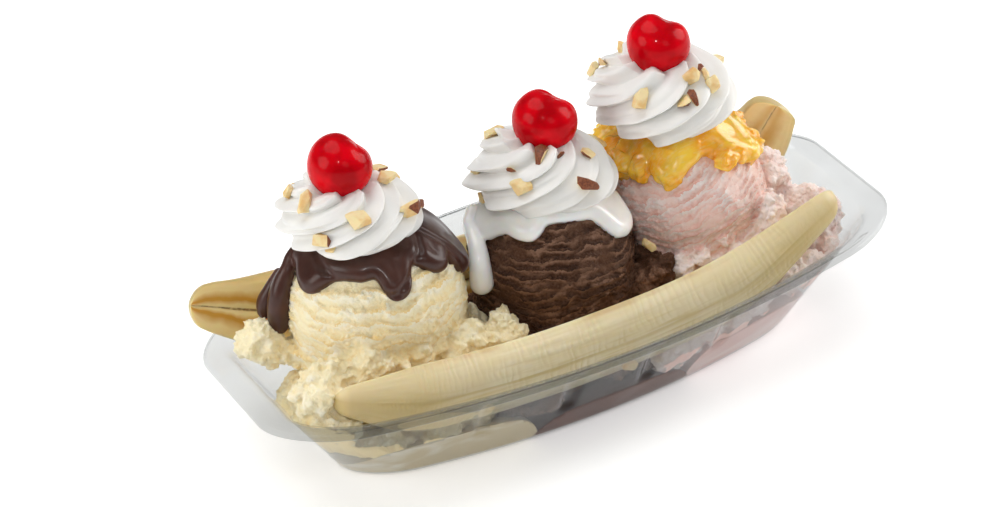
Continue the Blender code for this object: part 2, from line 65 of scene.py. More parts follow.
# centre and radius of each ball of ice cream
VANILLA = ((-60.2, 4.0, 51.5), 29.0)
CHOCOLATE = ((1.7, 1.0, 46.5), 27.0)
STRAWBERRY = ((54.0, 2.0, 49.0), 25.5)
# ball, radius of the foot, seed, share of crumbs, which way its tears face, and the tears'
# spacing and depth against the common ones; then its pale colour, which is also the painted
# highlight on lips and proud crumbs, its softness, how much paler its skirt is, and its grain
SCOOPS = {
    "vanilla": (VANILLA, 23, 3, 0.2, (0.10, -0.05, 1.0), 1.15, 0.80,
                "FFF6DE", 0.2, 0.12, 0.0004),
    "chocolate": (CHOCOLATE, 22, 5, 0.3, (0.12, 0.0, 1.0), 0.90, 1.0,
                  "94705A", 0.12, 0.10, 0.0009),
    "strawberry": (STRAWBERRY, 22, 7, 0.3, (-0.22, 0.05, 1.0), 0.80, 0.75,
                   "FFF0EA", 0.2, 0.75, 0.0005),
}
# places along the middle of each cut face, the way that it looks, and how blunt its ends are
FRONT_BANANA = (
    ((-92.5, -29, 44.5), (-60, -29, 36.5), (-10, -28, 32), (45, -28, 35), (92, -27, 50)),
    (0, 0.87, 0.49), 0.42, 0.50,
)
BACK_BANANA = (
    ((-112, 33, 53), (-75, 32, 38), (-10, 30, 27), (52, 29, 33), (87, 23, 43), (99, 18, 59)),
    (0, -0.94, 0.35), 0.50, 0.62,
)
# each pool's left end, right end, level and rise at the near wall; then its slot, and its
# material's name, colour, clouds and roughness
POOLS = (
    ("melt_vanilla", (-86, -24.8, 13, 14), "vanilla_ice",
     "Melted vanilla", "D2C2A0", "EAE4D6", 0.35),
    ("sauce_pool", (-25.8, 32.6, 10, 6), "chocolate_sauce",
     "Chocolate sauce and melt", "643A2A", "704736", 0.3),
    ("melt_strawberry", (31.6, 86, 14, 8), "strawberry_ice",
     "Melted strawberry", "E2BDB6", "EFD9D3", 0.35),
)
# base, radius, height, first pleat in degrees, how high the widest part is, lean along X, tip
CREAMS = {
    "cream_left": ((-64.5, 6, 79.3), 21.4, 17.0, 20, 0.30, -1, -0.10),
    "cream_middle": ((2.5, 4, 69.5), 22.0, 19.5, 65, 0.30, -1, -0.14),
    "cream_right": ((50, 7, 78.5), 22.4, 22.6, 40, 0.42, -2, -0.06),
}
# centre, the way its dimple faces, the way its two shoulders stand apart, and its radius against
# the common one; then how heart-shaped, how creased, a seed, and how deep its dimple is
CHERRIES = {
    "cherry_left": ((-66.2, 6, 102.3), (0.73, -0.01, 0.69), (0.52, -0.64, -0.56),
                    1.0, 0.03, 0.02, 1.0, 0.13),
    "cherry_middle": ((5.1, 4, 93.7), (0.60, 0.03, 0.80), (0.64, -0.62, -0.46),
                      1.02, 0.045, 0.05, 2.5, 0.15),
    "cherry_right": ((49.2, 6, 105.8), (0.53, 0.10, 0.84), (0.75, -0.62, -0.40),
                     0.99, 0.045, 0.0, 0.4, 0.17),
}
FLOOR_REACH = 4000
FLOOR_GLOW = 0.38
ROOM_LIGHT = 0.23
DISH_HAZE = 0.006
SCOOP_INTO_WALL = 0.09
MOST_TRIANGLES = 190000    # for one scoop
# name, place in metres, width in metres, power in watts and tint
SOFTBOXES = (
    ("softbox_above", (-0.10, 0.35, 1.20), 1.1, 7.2, "FFFFFF"),
    ("softbox_left", (-1.20, 0.05, 0.60), 0.9, 6.6, "FFFDFA"),
    ("softbox_right", (1.20, -0.10, 0.55), 0.9, 9.6, "FFFDFB"),
    ("softbox_front", (0.10, -1.30, 0.90), 0.7, 1.5, "FFFFFF"),
    ("spark", (-0.45, -0.75, 0.95), 0.1, 1.8, "FFFFFF"),
)
LIT = Vector((0, 0, 0.05))    # where the lights look, in metres
CAMERA_WAY = (-24.95, 32.59, -5.98)    # turn, rise and roll in degrees
CAMERA_LENS = 145.98
CAMERA_SHIFT = (-0.01967, 0.03983, 1.33955)    # right, up and back, in metres


# ---- small helpers --------------------------------------------------------------------------
def srgb(code):
    """An sRGB hex colour as linear red, green and blue."""
    parts = [int(code[i:i + 2], 16) / 255 for i in (0, 2, 4)]
    return tuple(p / 12.92 if p <= 0.04045 else ((p + 0.055) / 1.055) ** 2.4 for p in parts)


def smooth_step(low, high, value):
    """0 below low, 1 above high, and a smooth rise between."""
    t = min(max((value - low) / (high - low), 0.0), 1.0)
    return t * t * (3.0 - 2.0 * t)


def unevenness(*place):
    """Soft noise, from about -1 to 1, at three numbers."""
    return noise.noise(Vector(place))


def link_object(name, data):
    """A new object in the scene."""
    made = bpy.data.objects.new(name, data)
    bpy.context.scene.collection.objects.link(made)
    return made


def mesh_object(name, points, faces):
    """A smooth-shaded object from points in mm."""
    mesh = bpy.data.meshes.new(name)
    mesh.from_pydata([Vector(point) * MM for point in points], [], faces)
    mesh.validate()
    bm = bmesh.new()
    bm.from_mesh(mesh)
    bmesh.ops.recalc_face_normals(bm, faces=bm.faces)
    bm.to_mesh(mesh)
    bm.free()
    mesh.shade_smooth()
    return link_object(name, mesh)


def store(mesh, label, values, kind='FLOAT', domain='POINT'):
    """Keep a value for each point or face of a mesh."""
    field = "vector" if kind == 'FLOAT_VECTOR' else "value"
    mesh.attributes.new(label, kind, domain).data.foreach_set(field, values)


def grid_faces(columns, rows, start=0):
    """The faces of a grid whose points run up each column in turn."""
    corners = (0, rows + 1, rows + 2, 1)
    return [tuple(start + i * (rows + 1) + j + corner for corner in corners)
            for i in range(columns) for j in range(rows)]


def skin_rings(name, rings):
    """Join closed rings of points in order, and cap the first and the last."""
    count = len(rings[0])
    points = [point for ring in rings for point in ring]
    faces = []
    for start in range(0, len(points) - count, count):
        for i in range(count):
            j = (i + 1) % count
            faces.append((start + i, start + j, start + count + j, start + count + i))
    faces.append(tuple(range(count)))
    faces.append(tuple(range(len(points) - count, len(points))))
    return mesh_object(name, points, faces)


def bake(piece):
    """Turn what the modifiers make into a plain mesh and remove them."""
    graph = bpy.context.evaluated_depsgraph_get()
    mesh = bpy.data.meshes.new_from_object(
        piece.evaluated_get(graph), preserve_all_data_layers=True, depsgraph=graph)
    piece.modifiers.clear()
    piece.data = mesh
    mesh.shade_smooth()
    return piece


def change(piece, kind, **values):
    """Apply one modifier to a piece."""
    modifier = piece.modifiers.new(kind.title(), kind)
    for key, value in values.items():
        setattr(modifier, key, value)
    return bake(piece)


def remove(piece):
    """Delete a helper object."""
    bpy.data.objects.remove(piece, do_unlink=True)


def weld(piece, voxel, smoothing, factor=0.5):
    """Weld overlapping lumps into one closed skin."""
    change(piece, 'REMESH', mode='VOXEL', voxel_size=voxel * MM)
    return change(piece, 'SMOOTH', factor=factor, iterations=smoothing)


def thin(piece, most):
    """Merge the flattest faces until a piece has no more than this many triangles."""
    piece.data.calc_loop_triangles()
    share = most / len(piece.data.loop_triangles)
    return change(piece, 'DECIMATE', ratio=share) if share < 1.0 else piece


def take_away(piece, cutter):
    """Cut a closed shape out of a closed piece."""
    return change(piece, 'BOOLEAN', operation='DIFFERENCE', solver='MANIFOLD', object=cutter)


def join(name, pieces):
    """Join objects into the first one."""
    first = pieces[0]
    bm = bmesh.new()
    for piece in pieces:
        bm.from_mesh(piece.data)
    bm.to_mesh(first.data)
    bm.free()
    for piece in pieces[1:]:
        remove(piece)
    first.name = name
    return first


def search_tree(piece):
    """A search tree of a piece's faces."""
    return BVHTree.FromPolygons([vert.co for vert in piece.data.vertices],
                                [tuple(face.vertices) for face in piece.data.polygons])


def finish_piece(piece, name, node, material):
    """Give a piece its name, its material and its place in the frame."""
    piece.name = name
    piece.data.materials.clear()
    piece.data.materials.append(material)
    piece.data.polygons.foreach_set("material_index", [0] * len(piece.data.polygons))
    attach(piece, "root")
    if node:
        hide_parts(node)


def ball_template(detail):
    """The points and faces of a unit ball."""
    bm = bmesh.new()
    bmesh.ops.create_icosphere(bm, subdivisions=detail, radius=1.0)
    bm.verts.ensure_lookup_table()
    points = [vert.co.copy() for vert in bm.verts]
    faces = [tuple(vert.index for vert in face.verts) for face in bm.faces]
    bm.free()
    return points, faces


BALLS = {detail: ball_template(detail) for detail in (2, 3, 4, 5)}


def lump_cloud(name, lumps, detail):
    """Uneven balls: each is (centre, radii, wobble, seed)."""
    template, template_faces = BALLS[detail]
    points, faces = [], []
    for centre, radii, wobble, seed in lumps:
        shift = Vector((seed * 3.1, seed * 1.7, seed * 0.9))
        start = len(points)
        scale = Vector(radii) if hasattr(radii, "__len__") else Vector((radii, radii, radii))
        for way in template:
            grow = 1.0 + wobble * noise.noise(way * 1.7 + shift) if wobble else 1.0
            points.append(Vector(centre) + way * scale * grow)
        faces += [tuple(start + i for i in face) for face in template_faces]
    return mesh_object(name, points, faces)


def way_to(azimuth, polar):
    """The way from a ball's centre, from its azimuth and its angle from straight up."""
    a, p = math.radians(azimuth), math.radians(polar)
    return Vector((math.sin(p) * math.cos(a), math.sin(p) * math.sin(a), math.cos(p)))


# ---- formulas in node trees -----------------------------------------------------------------
class Wire:
    """A node's output that a formula can use: each step of the formula adds one node."""

    def __init__(self, socket):
        self.socket = socket
        self.wide = socket.type in {'VECTOR', 'RGBA'}

    def __add__(self, other):
        return maths('ADD', self, other)

    def __sub__(self, other):
        return maths('SUBTRACT', self, other)

    def __rsub__(self, other):
        return maths('SUBTRACT', other, self)

    def __mul__(self, other):
        return maths('SCALE' if self.wide else 'MULTIPLY', self, other)

    def __truediv__(self, other):
        return maths('DIVIDE', self, other)

    def __rtruediv__(self, other):
        return maths('DIVIDE', other, self)

    def __pow__(self, other):
        return maths('POWER', self, other)

    def __abs__(self):
        return maths('ABSOLUTE', self)


def tree_of(values):
    """The node tree that a formula's values belong to."""
    return next(value.socket.id_data for value in values if isinstance(value, Wire))


def add(tree, kind, inputs=None, output=0, **settings):
    """Add a node and give one of its outputs; each input is a wire or a plain value."""
    node = tree.nodes.new(kind)
    for key, value in settings.items():
        setattr(node, key, value)
    for key, value in (inputs or {}).items():
        if isinstance(value, Wire):
            tree.links.new(value.socket, node.inputs[key])
        else:
            node.inputs[key].default_value = value
    return Wire(node.outputs[output]) if node.outputs else None


def maths(operation, *values, clamp=False):
    """One step of a formula, on vectors where its first value is one."""
    tree = tree_of(values)
    if not (isinstance(values[0], Wire) and values[0].wide):
        return add(tree, "ShaderNodeMath", dict(enumerate(values)), operation=operation,
                   use_clamp=clamp)
    keys = (0, "Scale" if operation == 'SCALE' else 1)
    output = "Value" if operation in {'LENGTH', 'DOT_PRODUCT'} else 0
    return add(tree, "ShaderNodeVectorMath", dict(zip(keys, values)), output, operation=operation)


def vector(*values):
    """A vector from two or three numbers."""
    return add(tree_of(values), "ShaderNodeCombineXYZ", dict(enumerate(values)))


def parts(wire):
    """The three numbers of a vector."""
    split = add(tree_of([wire]), "ShaderNodeSeparateXYZ", {0: wire})
    return [Wire(socket) for socket in split.socket.node.outputs]


def ramp(value, low, high, start, end, clamp=True):
    """Turn the range from low to high into the range from start to end."""
    return add(tree_of([value]), "ShaderNodeMapRange",
               {0: value, 1: low, 2: high, 3: start, 4: end}, clamp=clamp)


def clouds(place, scale, detail=2.0, rough=0.5, output=0, distortion=0.0):
    """Soft noise, about one swell for each 1 / scale metres."""
    return add(tree_of([place]), "ShaderNodeTexNoise", {
        "Vector": place, "Scale": scale, "Detail": detail, "Roughness": rough,
        "Distortion": distortion}, output)


def mixed(share, low, high):
    """A colour between two: each is a wire or linear red, green and blue."""
    ends = [end if isinstance(end, Wire) else (*end[:3], 1.0) for end in (low, high)]
    return add(tree_of([share]), "ShaderNodeMix", {0: share, 6: ends[0], 7: ends[1]}, 2,
               data_type='RGBA')


# ---- node trees for shapes ------------------------------------------------------------------
def shape_tree(name, **inputs):
    """An empty Geometry Nodes tree and its inputs, which are named with _ for a space."""
    tree = bpy.data.node_groups.new(name, 'GeometryNodeTree')
    tree.interface.new_socket("Geometry", in_out='OUTPUT', socket_type='NodeSocketGeometry')
    for label in ("Geometry", "Material"):
        tree.interface.new_socket(label, in_out='INPUT', socket_type="NodeSocket" + label)
    for key, default in inputs.items():
        kind = 'NodeSocketVector' if isinstance(default, tuple) else 'NodeSocketFloat'
        label = key.replace("_", " ")
        tree.interface.new_socket(label, in_out='INPUT', socket_type=kind).default_value = default
    sockets = tree.nodes.new("NodeGroupInput").outputs
    return tree, [Wire(socket) for socket in sockets if socket.name]


def close_tree(tree, geometry, material):
    """End a tree with real geometry and its material."""
    real = add(tree, "GeometryNodeRealizeInstances", {0: geometry})
    dressed = add(tree, "GeometryNodeSetMaterial", {"Geometry": real, "Material": material})
    add(tree, "NodeGroupOutput", {0: dressed})


def run_tree(piece, tree, **values):
    """Shape a piece with a tree; an input is named as in the tree, with _ for a space."""
    modifier = piece.modifiers.new(tree.name, 'NODES')
    modifier.node_group = tree
    for item in tree.interface.items_tree:
        key = item.name.replace(" ", "_")
        if item.item_type == 'SOCKET' and item.in_out == 'INPUT' and key in values:
            modifier[item.identifier] = values[key]
    return bake(piece)


def torn_tree():
    """Torn ice cream: wavy lips round a ball, and crumbs everywhere else."""
    tree, (geometry, material, centre, radius, tilt, spacing, lip_depth, crumb_size, crumb_depth,
           grain_depth, seed) = shape_tree(
        "Torn ice cream", Centre=(0.0, 0.0, 0.0), Radius=0.03, Tilt=(0.0, 0.0, 1.0),
        Lip_spacing=0.003, Lip_depth=0.001, Crumb_size=0.003, Crumb_depth=0.001,
        Grain_depth=0.0002, Seed=0.0)
    place = add(tree, "GeometryNodeInputPosition")
    moved = place + vector(seed, seed)

    # 1 on the ball's own face, 0 on the broken skirt
    x, y, z = parts(place - centre)
    reach = maths('LENGTH', vector(x, y, maths('MAXIMUM', z, 0.0)))
    ball = ramp(reach / radius, 1.03, 1.09, 1.0, 0.0)

    # two sets of torn lips that wander, cross and die out; each lip's free edge is its upper one
    heights, stored = [], []
    for label, lean, wider, shift, faint, full in (
            ("a", (0.0, 0.0, 0.0), 1.0, 0.0, 0.20, 1.10),
            ("b", (-0.26, 0.20, 0.0), 1.30, 4.0, 0.0, 1.05)):
        there = moved + (shift, shift, 0.0)
        level = maths('DOT_PRODUCT', place, tilt + lean)
        count = clouds(there, 64.0) * 3.0 + level / spacing / wider
        ragged = clouds(there, 280.0, 4.0, 0.62) + count
        tooth = maths('FRACT', ragged)
        edge = maths('MINIMUM', tooth ** 1.7, ramp(tooth, 0.84, 1.0, 1.0, 0.0))
        strength = ramp(clouds(there, 120.0, 3.0), 0.40, 0.57, faint, full)
        heights.append(edge * strength)
        stored += [("lips_" + label, ragged), ("torn_" + label, strength * ball)]
    proud = (maths('MAXIMUM', *heights) - 0.45) * lip_depth
    ridge = proud * ramp(ball, 0.0, 1.0, 0.35, 1.0)

    # crumbs: ragged curds with open pores between them
    bent = moved + clouds(moved, 260.0, 3.0, output="Color") * 0.0045
    clods = add(tree, "ShaderNodeTexVoronoi", {"Vector": bent, "Scale": 1.0 / crumb_size},
                feature='F1')
    crags = ramp(clouds(bent, 150.0, 7.0, 0.72), 0.3, 0.7, -1.5, 1.5, clamp=False)
    rough = ramp(clods, 0.0, 0.75, 0.2, -0.35) + crags
    skirt = ramp(ball, 0.0, 1.0, 1.0, 0.14)
    crumb = rough * crumb_depth * skirt
    fine = (clouds(moved, 750.0) - 0.5) * grain_depth
    offset = add(tree, "GeometryNodeInputNormal") * (ridge + crumb + fine)
    shaped = add(tree, "GeometryNodeSetPosition", {"Geometry": geometry, "Offset": offset})
    # what the finish needs: how proud a crumb is, the unbroken count of lips, and how torn it is
    relief = rough * skirt * 0.30 + 0.5
    for label, value in (("relief", relief), ("ball", ball), *stored):
        shaped = add(tree, "GeometryNodeStoreNamedAttribute",
                     {"Geometry": shaped, "Name": label, "Value": value}, data_type='FLOAT')
    close_tree(tree, shaped, material)
    return tree


def rosette_tree():
    """Piped cream: a dome of pleats that wind upwards, from a flat grid."""
    tree, (geometry, material, base, radius, height, pleats, pleat_depth, twist, start, widest,
           lean, tip, seed) = shape_tree(
        "Piped rosette", Base=(0.0, 0.0, 0.0), Radius=0.023, Height=0.022, Pleats=8.0,
        Pleat_depth=0.085, Twist=2.6, Start=0.0, Widest=0.3, Lean=0.0, Tip=0.0, Seed=0.0)
    across, along, _ = parts(add(tree, "GeometryNodeInputPosition"))
    angle = across * math.tau
    share = maths('SINE', ramp(along, 0.12, 0.90, 0.0, math.pi / 2))
    closed = ramp(along, 0.0, 0.12, 0.0, 1.0) * ramp(along, 0.90, 1.0, 1.0, 0.0)

    # the belly: fullest part way up, then drawn in towards the top
    foot = maths('SUBTRACT', 1.0, share / widest, clamp=True) ** 2.0 * -0.30 + 1.0
    high = maths('DIVIDE', share - widest, 1.0 - widest, clamp=True)
    belly = foot * maths('COSINE', high * 1.18) ** 0.72

    # a slow unevenness that closes on itself round the swirl
    where = vector(maths('COSINE', angle), maths('SINE', angle), share) + vector(seed, seed, seed)
    sway = clouds(where, 1.3, 1.0) - 0.5
    swell = clouds(where, 2.6, 1.0) - 0.5

    # narrow crests over wide round hollows, steeper on the side that faces down
    turns = (sway * 0.7 + angle) * pleats + (0.5 - math.pi / 2)
    skewed = maths('COSINE', turns) * -0.6 + turns
    fold = abs(maths('SINE', skewed * 0.5)) ** 2.1 * -2.0 + 1.0
    pleat = fold * (swell * 2.2 + 1.0) * (share * -0.3 + 1.0) * pleat_depth

    out = belly * radius * (swell * 0.16 + (pleat + 1.0)) * closed
    around = share * twist + angle + start
    x = maths('COSINE', around) * out + share * lean
    y = maths('SINE', around) * out
    hung = pleat * (share * -1.0 + 1.0) * radius * -0.5 + share * height
    # the crests stand up round the cherry, and the whole swirl tips towards one end
    crowned = fold * share ** 4.0 * 0.0014 + hung
    z = x * share * tip + crowned
    spread = add(tree, "GeometryNodeSetPosition",
                 {"Geometry": geometry, "Position": vector(x, y, z) + base})
    shut = add(tree, "GeometryNodeMergeByDistance", {"Geometry": spread, "Distance": 0.00001})
    close_tree(tree, shut, material)
    return tree


def nut_tree(kinds):
    """Chopped nuts: one of a few chips at each point, turned and sized by the point."""
    tree, (geometry, material) = shape_tree("Chopped nuts")
    heap = tree.nodes.new("GeometryNodeJoinGeometry")
    for kind in reversed(kinds):
        chip = add(tree, "GeometryNodeObjectInfo", {"Object": kind}, "Geometry")
        single = add(tree, "GeometryNodeGeometryToInstance", {0: chip})
        tree.links.new(single.socket, heap.inputs[0])
    which, turn, size = (
        add(tree, "GeometryNodeInputNamedAttribute", {"Name": label}, data_type=kind)
        for label, kind in (("kind", 'INT'), ("turn", 'FLOAT_VECTOR'), ("size", 'FLOAT')))
    placed = add(tree, "GeometryNodeInstanceOnPoints", {
        "Points": geometry, "Instance": Wire(heap.outputs[0]), "Pick Instance": True,
        "Instance Index": which, "Rotation": turn, "Scale": size})
    close_tree(tree, placed, material)
    return tree


# ---- the dish and its hollow ----------------------------------------------------------------
SIDE_STEPS = 150
CORNER_STEPS = 12
END_STEPS = 22
RIBS = (-46, -17, 12, 41)    # where the stacking ribs stand along both long walls
RIB_WIDTH, RIB_DEPTH = 2.7, 1.2
# heights where the wall leaves the floor, runs straight, and turns into the flange
FOOT_TURN, WALL_FROM, WALL_TO, RIM_TURN = 3.2, 4.5, 35.2, 36.4


def outline(size, z, grow=0.0, rib=0.0):
    """Points of a bowed rounded rectangle at height z, with stacking ribs pressed inwards."""
    length, width, corner, bow = size
    half_x = length / 2 + grow
    half_y = width / 2 + grow
    radius = max(corner + grow, 1.0)
    points = []
    for side in range(4):
        along_x = side % 2 == 0
        straight = (half_x if along_x else half_y) - radius
        heading = side * math.pi / 2
        ahead = Vector((math.cos(heading), math.sin(heading)))
        out = Vector((math.sin(heading), -math.cos(heading)))
        reach = half_y if along_x else half_x
        count = SIDE_STEPS if along_x else END_STEPS
        for i in range(count):
            points.append(ahead * straight * (2 * i / count - 1) + out * reach)
        centre = ahead * straight + out * (reach - radius)
        for i in range(CORNER_STEPS):
            angle = math.pi / 2 * i / CORNER_STEPS
            points.append(centre + (out * math.cos(angle) + ahead * math.sin(angle)) * radius)
    shaped = []
    for point in points:
        y = point.y * (1 - bow / half_y * (point.x / half_x) ** 2)
        if rib:
            pressed = sum(math.exp(-((point.x - place) / RIB_WIDTH) ** 4) for place in RIBS)
            y -= math.copysign(rib * pressed, y)
        shaped.append(Vector((point.x, y, z)))
    return shaped


def blend(low, high, share):
    """An outline's sizes part of the way from one to another."""
    return tuple(a + (b - a) * share for a, b in zip(low, high))


def wall_ring(height, grow=0.0):
    """The dish's wall at a height, with its ribs."""
    risen = smooth_step(13, 17, height) * (1 - smooth_step(31.5, 35, height))
    return outline(blend(FLOOR, MOUTH, height / DISH_HEIGHT), height, grow, RIB_DEPTH * risen)


def turn_rings(a, b, c, steps):
    """Rings that turn smoothly from a to c round the corner at b."""
    rings = []
    for i in range(steps + 1):
        t = i / steps
        rings.append([p * (1 - t) ** 2 + q * 2 * t * (1 - t) + r * t * t
                      for p, q, r in zip(a, b, c)])
    return rings


def wall_rings(steps, grow=0.0):
    """Rings up the straight part of the wall."""
    return [wall_ring(WALL_FROM + (WALL_TO - WALL_FROM) * i / steps, grow)
            for i in range(steps + 1)]


def make_dish(wall, lip_drop):
    """A thin formed boat: ribbed sloping walls, a flat flange and a rolled lip."""
    top = DISH_HEIGHT
    under = top - wall
    lip = top - lip_drop
    near = blend(MOUTH, RIM, 0.30)
    outside = [outline(FLOOR, 0.0, -14), outline(FLOOR, 0.0, -7)]
    outside += turn_rings(outline(FLOOR, 0.0, -2.0), outline(FLOOR, 0.0, wall * 0.9),
                          wall_ring(2.8, wall), 6)
    outside += wall_rings(20, wall)
    outside += turn_rings(wall_ring(RIM_TURN, wall), outline(MOUTH, under, wall),
                          outline(near, under), 6)
    outside.append(outline(blend(MOUTH, RIM, 0.62), under))
    outside += turn_rings(outline(RIM, under, -2.2), outline(RIM, under, -wall),
                          outline(RIM, lip, -wall), 4)
    inside = [outline(RIM, lip, -wall * 0.5)]
    inside += turn_rings(outline(RIM, lip, -0.12), outline(RIM, top), outline(RIM, top, -1.7), 6)
    inside.append(outline(blend(MOUTH, RIM, 0.62), top))
    inside += turn_rings(outline(near, top), outline(MOUTH, top), wall_ring(RIM_TURN), 6)
    inside += reversed(wall_rings(20))
    inside += turn_rings(wall_ring(FOOT_TURN), outline(FLOOR, FLOOR_LEVEL, 0.2),
                         outline(FLOOR, FLOOR_LEVEL, -2.4), 6)
    inside += [outline(FLOOR, FLOOR_LEVEL, -8), outline(FLOOR, FLOOR_LEVEL, -14)]
    return skin_rings("dish_shell", outside + inside)


def make_mould(into=0.14):
    """A block with the dish's hollow in it, reaching just into the wall so no air shows."""
    top = DISH_HEIGHT - into
    block = (345, 200, 10, 0)
    near = blend(MOUTH, RIM, 0.30)
    rings = [outline(block, -12), outline(block, top)]
    rings += turn_rings(outline(near, top), outline(MOUTH, top, into),
                        wall_ring(RIM_TURN, into), 3)
    rings += reversed(wall_rings(14, into))
    bottom = FLOOR_LEVEL - into
    rings += turn_rings(wall_ring(FOOT_TURN, into), outline(FLOOR, bottom, 0.2 + into),
                        outline(FLOOR, bottom, -2.4), 4)
    rings.append(outline(FLOOR, bottom, -14))
    return skin_rings("mould", rings)


def press_into(piece, mould):
    """Flatten what would pass through the dish against the wall."""
    tree = search_tree(mould)
    for vert in piece.data.vertices:
        if vert.co.z > (DISH_HEIGHT + 0.6) * MM:
            continue
        place, normal, _, _ = tree.find_nearest(vert.co)
        if (vert.co - place).dot(normal) < 0:
            vert.co = place


# ---- bananas --------------------------------------------------------------------------------
BANANA_RADIUS = 14.5
BANANA_LENGTH = 195.0


def curve_through(anchors, share):
    """A point on a smooth curve through a few anchors, share running from 0 to 1."""
    last = len(anchors) - 1
    place = min(max(share, 0.0), 1.0) * last
    i = min(int(place), last - 1)
    t = place - i
    a, b = anchors[i], anchors[i + 1]
    before = anchors[i - 1] if i > 0 else a * 2 - b
    after = anchors[i + 2] if i + 2 <= last else b * 2 - a
    slope_a = (b - before) / 2
    slope_b = (after - a) / 2
    return (a * (2 * t ** 3 - 3 * t ** 2 + 1) + slope_a * (t ** 3 - 2 * t ** 2 + t)
            + b * (3 * t ** 2 - 2 * t ** 3) + slope_b * (t ** 3 - t ** 2))


def banana_profile(share, left_tip, right_tip):
    """Radius along a banana half as a part of the full radius: blunt at both ends."""
    left = left_tip + (1.0 - left_tip) * smooth_step(-0.02, 0.24, share)
    right = right_tip + (1.0 - right_tip) * smooth_step(-0.02, 0.26, 1.0 - share)
    return min(left, right) * (0.96 + 0.04 * math.sin(share * math.pi))


def make_banana(half, seed):
    """A peeled half: faceted and stranded outside, with a seam along its cut face."""
    places, face, left_tip, right_tip = half
    anchors = [Vector(place) for place in places]
    stations, arc, flat_steps = 330, 64, 26
    rings, marks = [], []
    for i in range(stations):
        s = i / (stations - 1)
        share = s - 0.9 * math.sin(math.tau * s) / math.tau
        centre = curve_through(anchors, share)
        ahead = curve_through(anchors, min(share + 0.02, 1.0))
        behind = curve_through(anchors, max(share - 0.02, 0.0))
        along = (ahead - behind).normalized()
        end = min(share, 1.0 - share)
        radius = BANANA_RADIUS * banana_profile(share, left_tip, right_tip)
        tip = 1.0 - min(end / 0.026, 1.0)
        closing = math.sqrt(max(1.0 - tip * tip, 0.0))
        radius *= closing * (0.86 + 0.14 * smooth_step(0.0, 0.05, end)) + 0.002
        length = share * BANANA_LENGTH
        up = along.cross(Vector(face)).normalized()
        level = up.cross(along).normalized()
        if level.dot(Vector(face)) < 0:
            level = -level
        ring = []
        for j in range(arc + 1):
            angle = math.pi * j / arc
            swell = 1.0 + 0.030 * abs(math.cos(2.5 * (angle - math.pi / 2)))
            # strands run lengthwise, with a shallow groove between each two
            strand = unevenness(angle * 5.2, length * 0.012, seed)
            groove = max(0.0, 1.0 - abs(strand) * 8.0)
            wander = 0.06 * unevenness(length * 0.03, seed, 0)
            for valley in (0.94, 2.20):
                groove = max(groove, 1.3 * math.exp(-((angle - valley - wander) / 0.035) ** 2))
            lumpy = unevenness(angle * 1.6, length * 0.045, seed + 2)
            inland = smooth_step(0.02, 0.14, end)
            deep = (-0.34 * groove + 0.22 * lumpy) * inland * min(1.0, math.sin(angle) * 4 + 0.2)
            away = up * math.cos(angle) - level * math.sin(angle) * 0.96
            ring.append(centre + away * (radius * swell + deep))
            marks.append((0.0, math.cos(angle), share, groove * inland))
        for j in range(1, flat_steps):
            t = -1.0 + 2.0 * j / flat_steps
            seam = min(0.7, radius * 0.2) * math.exp(-(t / 0.05) ** 2)
            crown = 0.5 * (1.0 - t * t) - 0.5 * smooth_step(0.35, 0.0, abs(t))
            rough = 0.18 * unevenness(t * 4, length * 0.3, seed + 5)
            corner = radius * 0.07 * max(abs(t) - 0.86, 0.0) / 0.14
            lift = (crown + rough) * min(radius / 10, 1.0) - seam - corner
            ring.append(centre + up * radius * t * 0.995 + level * lift)
            marks.append((1.0, t, share, 0.0))
        rings.append(ring)
    made = skin_rings("banana", rings)
    for label, values in zip(("cut", "across", "along", "groove"), zip(*marks)):
        store(made.data, label, values)
    return made


# ---- ice cream ------------------------------------------------------------------------------
PRESS = 8
FOOT = 10
# each trail of lumps: first place, last place, size, how many
TRAILS = {
    "scoop_vanilla": (
        ((-95.5, -17, 22), (-94, -20, 45), 7.0, 4),
        ((-95.5, -24, 33), (-86, -26, 30), 6.5, 3),
        ((-88, -17, 44), (-60, -21, 44), 6.0, 6),
        ((-58, -21, 43), (-28, -20, 38), 6.0, 6),
        ((-100, 14, 43), (-96, 15, 46.5), 5.0, 3),
        ((-97, 12, 42), (-88, 8, 39), 5.2, 4),
        ((-88, 0, 20), (-82, -10, 30), 9.0, 3),
        ((-36, -12, 34), (-32, 6, 30), 6.5, 3),
        ((-88, -22, 19), (-40, -28, 18), 7.0, 8),
        ((-85, -21, 42.5), (-74, -22, 44), 4.6, 3),
    ),
    "scoop_chocolate": (
        ((-24, -18, 30), (14, -19, 33), 7.0, 7),
        ((12, -17, 34), (34, -18, 38), 6.5, 5),
        ((26, -12, 34), (32, -6, 40), 6.0, 3),
        ((-16, 12, 26), (20, 14, 28), 7.0, 4),
        ((-34, -27, 20), (10, -29, 20), 8.0, 6),
        ((17, -31, 19), (21, -31, 23), 4.5, 2),
    ),
    "scoop_strawberry": (
        ((38, -18, 38), (74, -20, 44), 6.0, 7),
        ((80, 8, 44), (84, 3, 50), 8.0, 3),
        ((84, -8, 34), (92, -14, 38), 7.5, 4),
        ((92, -18, 28), (98, -12, 34), 6.5, 4),
        ((78, -6, 22), (88, 6, 28), 9.0, 3),
        ((25, -31, 21), (80, -25, 24), 7.5, 8),
    ),
}


def trail_lumps(start, end, size, count, seed):
    """Crumbly lumps strung unevenly from one place to another."""
    rng = random.Random(seed)
    lumps = []
    for i in range(count):
        place = Vector(start).lerp(Vector(end), i / max(count - 1, 1))
        shift = Vector([rng.uniform(-1, 1) for _ in range(3)]) * size * 0.35
        lumps.append((place + shift, size * rng.uniform(0.75, 1.2), 0.35, seed + i))
    return lumps


